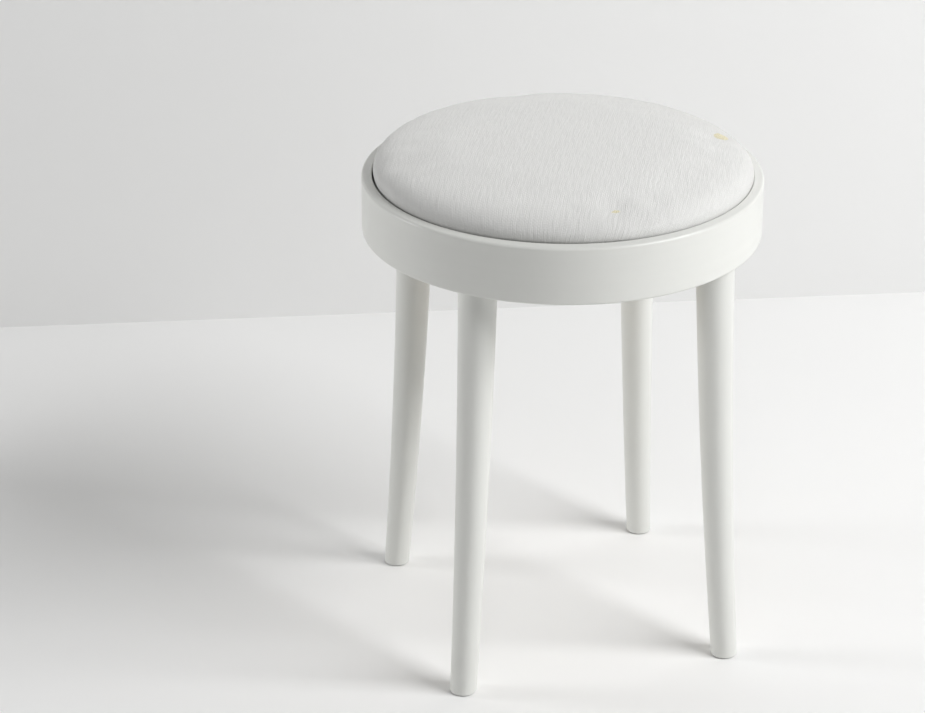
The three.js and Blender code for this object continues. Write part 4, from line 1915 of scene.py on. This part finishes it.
    def swollen_form(self) -> bpy.types.Object:
        """Blows up a slightly smaller pad as cloth, held below the ring's edge.

        Returns:
            The form that the cover is drawn over.
        """
        s = self.stool
        crown = self.crown_outline(-self.start_bulge, self.start_drop + self.start_bulge)
        points = [(0.0, s.cover_bottom), *self.turned_under(0), *crown]
        form = drawn_outline("swollen_form", points)
        spun(form, self.form_facets)
        remesh = form.modifiers.new("remesh", "REMESH")
        remesh.mode = "VOXEL"
        remesh.voxel_size = self.voxel
        apply_modifier(form, remesh)
        start = np.array([tuple(v.co) for v in form.data.vertices])
        held_name = "held"
        held = form.vertex_groups.new(name=held_name)
        for index, (_, _, height) in enumerate(start):
            held.add([index], 1.0 if height < s.ring_top - self.held_below else 0.0, "REPLACE")
        cloth = form.modifiers.new("cloth", "CLOTH")
        cloth.settings.quality = self.sim_quality
        cloth.settings.use_pressure = True
        cloth.settings.uniform_pressure_force = self.pressure
        cloth.settings.tension_stiffness = self.stretch_stiffness
        cloth.settings.compression_stiffness = self.stretch_stiffness
        cloth.settings.vertex_group_mass = held_name
        cloth.settings.effector_weights.gravity = 0.0
        for number in range(1, self.last_frame + 1):
            bpy.context.scene.frame_set(number)
        apply_modifier(form, cloth)
        bpy.context.scene.frame_set(1)
        swollen = np.array([tuple(v.co) for v in form.data.vertices])
        moved = swollen - start
        length = np.linalg.norm(moved, axis=1, keepdims=True)
        log.info("the form swells %.1f to %.1f mm", float(length.min()) / MM, float(length.max()) / MM)
        capped = start + moved * np.minimum(1.0, self.swell_cap / np.maximum(length, TINY))
        form.data.vertices.foreach_set("co", capped.ravel())
        even = form.modifiers.new("even", "SMOOTH")
        even.factor = EASE
        even.iterations = self.form_ease_passes
        apply_modifier(form, even)
        finer = form.modifiers.new("finer", "SUBSURF")
        finer.levels = finer.render_levels = 1
        apply_modifier(form, finer)
        return form

    def draw_over(self, cover: bpy.types.Object, form: bpy.types.Object) -> None:
        """Draws the part of the cover that stands above the ring onto the swollen form.

        Args:
            cover: The turned skin.
            form: The form.
        """
        free_name = "free"
        free = cover.vertex_groups.new(name=free_name)
        low, high = self.stool.ring_top - self.draw_reach, self.stool.ring_top + self.draw_reach
        for vertex in cover.data.vertices:
            share = min(1.0, max(0.0, (vertex.co.z - low) / (high - low)))
            free.add([vertex.index], share, "REPLACE")
        wrap = cover.modifiers.new("wrap", "SHRINKWRAP")
        wrap.target = form
        wrap.wrap_method = "NEAREST_SURFACEPOINT"
        wrap.vertex_group = free_name
        apply_modifier(cover, wrap)
        smooth = cover.modifiers.new("smooth", "SMOOTH")
        smooth.factor = EASE
        smooth.iterations = self.cover_ease_passes
        smooth.vertex_group = free_name
        apply_modifier(cover, smooth)

    def thicken(self, cover: bpy.types.Object) -> None:
        """Gives the cover's skin the thickness of the cloth, inwards."""
        solid = cover.modifiers.new("thickness", "SOLIDIFY")
        solid.thickness = self.cloth
        solid.offset = -1.0
        apply_modifier(cover, solid)

    def lean(self, cover: bpy.types.Object) -> None:
        """Lets the part above the ring lean to one side, as a pad that was screwed down by hand does.

        Args:
            cover: The cover.
        """
        heading = math.radians(self.lean_heading)
        way = np.array([math.cos(heading), math.sin(heading), 0.0])
        drop = np.array([0.0, 0.0, -self.lean_drop])
        low, high = self.stool.ring_top + self.lean_from, self.stool.ring_top + self.lean_full
        places = np.array([tuple(v.co) for v in cover.data.vertices])
        share = np.clip((places[:, 2] - low) / (high - low), 0.0, 1.0)[:, None]
        side = (places @ way)[:, None] / self.bulge_radius
        moved = places + share * (way * self.lean_shift + drop * side)
        cover.data.vertices.foreach_set("co", moved.ravel())
        cover.data.update()

    def mark_flank_shade(self, cover: bpy.types.Object) -> None:
        """Writes into a point attribute how much painted shade darkens the cloth's colour at each point:
        most just above the ring.
        """
        low, high = self.stool.ring_top + self.flank_shade_full, self.stool.ring_top + self.flank_shade_from
        marks = [min(1.0, max(0.0, (high - point.co.z) / (high - low))) for point in cover.data.vertices]
        layer = cover.data.attributes.new("flank_shade", "FLOAT", "POINT")
        layer.data.foreach_set("value", marks)

    def map_cloth(self, cover: bpy.types.Object, outline: Sequence[tuple[float, float]]) -> None:
        """Lays the map cloth: metres along the weft and the warp of the cloth as it was cut.

        Args:
            cover: The cover.
            outline: Its outline from the hem to the middle.
        """
        points = np.array(outline)[::-1]
        steps = np.diff(points, axis=0)
        lengths = np.linalg.norm(steps, axis=1)
        run = np.concatenate([[0.0], np.cumsum(lengths)])
        places = np.array([tuple(v.co) for v in cover.data.vertices])
        profile = np.column_stack([np.hypot(places[:, 0], places[:, 1]), places[:, 2]])
        best = np.full(len(profile), np.inf)
        reach = np.zeros(len(profile))
        for start, step, length, before in zip(points, steps, lengths, run):
            share = np.clip(((profile - start) @ step) / length**2, 0.0, 1.0)
            away = np.linalg.norm(profile - start - share[:, None] * step, axis=1)
            nearer = away < best
            best = np.where(nearer, away, best)
            reach = np.where(nearer, before + share * length, reach)
        heading = math.radians(self.warp_heading)
        way = np.arctan2(places[:, 1], places[:, 0])
        flat = np.column_stack([reach * np.sin(heading - way), reach * np.cos(heading - way)])
        corners = np.empty(len(cover.data.loops), dtype=np.int32)
        cover.data.loops.foreach_get("vertex_index", corners)
        layer = cover.data.uv_layers.new(name="cloth")
        layer.data.foreach_set("uv", flat[corners].ravel())


@dataclass
class HiddenMetal:
    """The staples of the hem and the tee nuts in the board, kept as packed and dressed in zinc."""

    def build(self, metal: bpy.types.Material) -> None:
        """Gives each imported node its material.

        Args:
            metal: The zinc plating.
        """
        for name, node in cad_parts.items():
            if name.startswith(("staple_", "tee_nut_")):
                node.data.materials.clear()
                node.data.materials.append(metal)
        log.info("staples and tee nuts dressed")


# Studio


@dataclass(frozen=True)
class Lamp:
    """A soft rectangular lamp that faces the stool. Its azimuth is counted anticlockwise from +X."""

    name: str
    azimuth: float
    elevation: float
    width: float
    height: float
    watts: float
    distance: float = 3.2
    aim_height: float = 0.3

    def build(self) -> bpy.types.Object:
        """Hangs the lamp.

        Returns:
            The lamp.
        """
        light = bpy.data.lights.new(self.name, "AREA")
        light.shape = "RECTANGLE"
        light.size = self.width
        light.size_y = self.height
        light.energy = self.watts
        lamp = bpy.data.objects.new(self.name, light)
        bpy.context.scene.collection.objects.link(lamp)
        way, up = math.radians(self.azimuth), math.radians(self.elevation)
        out = Vector((math.cos(up) * math.cos(way), math.cos(up) * math.sin(way), math.sin(up)))
        lamp.location = Vector((0, 0, self.aim_height)) + out * self.distance
        lamp.rotation_euler = out.to_track_quat("Z", "Y").to_euler()
        return lamp


@dataclass
class Studio:
    """Plain floor, plain backdrop, soft lamps and the camera."""

    camera_place: tuple[float, float, float] = (-0.69758, -2.23821, 1.34707)
    camera_pitch: float = 24.814
    camera_heading: float = 15.125
    lens: float = 108.891
    sensor_width: float = 36.0
    floor_size: float = 12.0
    floor_colour: tuple[float, float, float] = (0.88, 0.88, 0.875)
    wall_colour: tuple[float, float, float] = (0.87, 0.87, 0.865)
    wall_distance: float = 0.709
    wall_heading: float = -9.7
    wall_height: float = 1.6
    paper_roughness: float = 0.9
    paper_gloss: float = 0.1
    ambient: float = 0.1
    backdrop_tone: float = 0.75
    lamps: tuple[Lamp, ...] = (
        Lamp("key", azimuth=-40.0, elevation=39.0, width=1.9, height=1.0, watts=94.0),
        Lamp("fill", azimuth=160.0, elevation=11.0, width=0.9, height=0.7, watts=35.0),
        Lamp("room", azimuth=-105.0, elevation=48.0, width=0.9, height=1.8, watts=7.0),
    )

    def build(self) -> None:
        """Sets up everything round the stool."""
        floor = self.paper("floor paper", self.floor_colour)
        self.stand("floor", (0, 0, 0), self.floor_size, (0, 0, 0), floor)
        heading = math.radians(self.wall_heading)
        away = (-self.wall_distance * math.sin(heading), self.wall_distance * math.cos(heading))
        wall = self.paper("wall paper", self.wall_colour)
        self.stand("backdrop", (*away, self.wall_height / 2), self.wall_height, (QUARTER, 0, heading), wall)
        self.light()
        self.aim()

    def stand(
        self,
        name: str,
        place: tuple[float, float, float],
        size: float,
        turn: tuple[float, float, float],
        finish: bpy.types.Material,
    ) -> None:
        """Stands a sheet of the set.

        Args:
            name: Its name.
            place: Its middle.
            size: Its height, and half its width.
            turn: Its turn.
            finish: Its material.
        """
        clear_selection()
        bpy.ops.mesh.primitive_plane_add(size=1, location=place, rotation=turn)
        sheet = bpy.context.view_layer.objects.active
        sheet.name = name
        sheet.scale = (2 * size, size, 1)
        settle(sheet)
        sheet.data.materials.append(finish)

    def paper(self, name: str, colour: tuple[float, float, float]) -> bpy.types.Material:
        """Plain pale paper, whose back lets everything through, so that it hides nothing from behind.

        Args:
            name: The material's name.
            colour: Its colour.

        Returns:
            The material.
        """
        tree, shader, material = new_material(name)
        shader.inputs["Base Color"].default_value = (*colour, 1.0)
        shader.inputs["Roughness"].default_value = self.paper_roughness
        shader.inputs["Specular IOR Level"].default_value = self.paper_gloss
        back = tree.node("ShaderNodeNewGeometry").outputs["Backfacing"]
        clear = tree.node("ShaderNodeBsdfTransparent").outputs[0]
        mixed = tree.node("ShaderNodeMixShader", {0: back, 1: shader.outputs[0], 2: clear}).outputs[0]
        output = next(node for node in material.node_tree.nodes if node.type == "OUTPUT_MATERIAL")
        tree.feed(output.inputs["Surface"], mixed)
        return material

    def light(self) -> None:
        """Lights the set with the sky and the lamps."""
        world = bpy.data.worlds.new("studio")
        bpy.context.scene.world = world
        world.use_nodes = True
        sky = next(node for node in world.node_tree.nodes if node.type == "BACKGROUND")
        sky.inputs["Color"].default_value = (1.0, 1.0, 1.0, 1.0)
        tree = Tree(world.node_tree)
        seen = tree.node("ShaderNodeLightPath").outputs["Is Camera Ray"]
        tree.feed(sky.inputs["Strength"], tree.spread(seen, 0.0, 1.0, self.ambient, self.backdrop_tone))
        for lamp in self.lamps:
            lamp.build()
        bpy.context.scene.view_settings.view_transform = "Standard"

    def aim(self) -> None:
        """Sets the camera at the photograph's viewing angle."""
        camera = bpy.data.cameras.new("camera")
        camera.lens = self.lens
        camera.sensor_width = self.sensor_width
        holder = bpy.data.objects.new("camera", camera)
        bpy.context.scene.collection.objects.link(holder)
        holder.location = self.camera_place
        tilt = QUARTER - math.radians(self.camera_pitch)
        holder.rotation_euler = (tilt, 0, -math.radians(self.camera_heading))
        bpy.context.scene.camera = holder


def main() -> None:
    """Builds the studio and the stool, sub-assembly by sub-assembly."""
    logging.basicConfig(level=logging.INFO, format="%(name)s: %(message)s")
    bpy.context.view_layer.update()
    Studio().build()
    finishes = Finishes()
    stool = Stool.measured()
    lock = WoodScrew(
        length=25 * MM, shank=4 * MM, head=8 * MM, rim=0.6 * MM, point=5 * MM, sink=0.4 * MM
    )
    glide_screw = WoodScrew(
        length=16 * MM, shank=3 * MM, head=6 * MM, rim=0.4 * MM, point=3.5 * MM, sink=0.8 * MM
    )
    leg = Leg(stool)
    SeatRing(stool).build(lock, leg, finishes.ring_lacquer)
    leg.build(lock, glide_screw, finishes.leg_lacquer)
    Feet(stool, glide_screw).build(finishes.nylon, finishes.zinc)
    RingFasteners(stool, lock).build(finishes.zinc)
    Pad(stool).build(finishes)
    HiddenMetal().build(finishes.zinc)


if __name__ == "__main__":
    main()
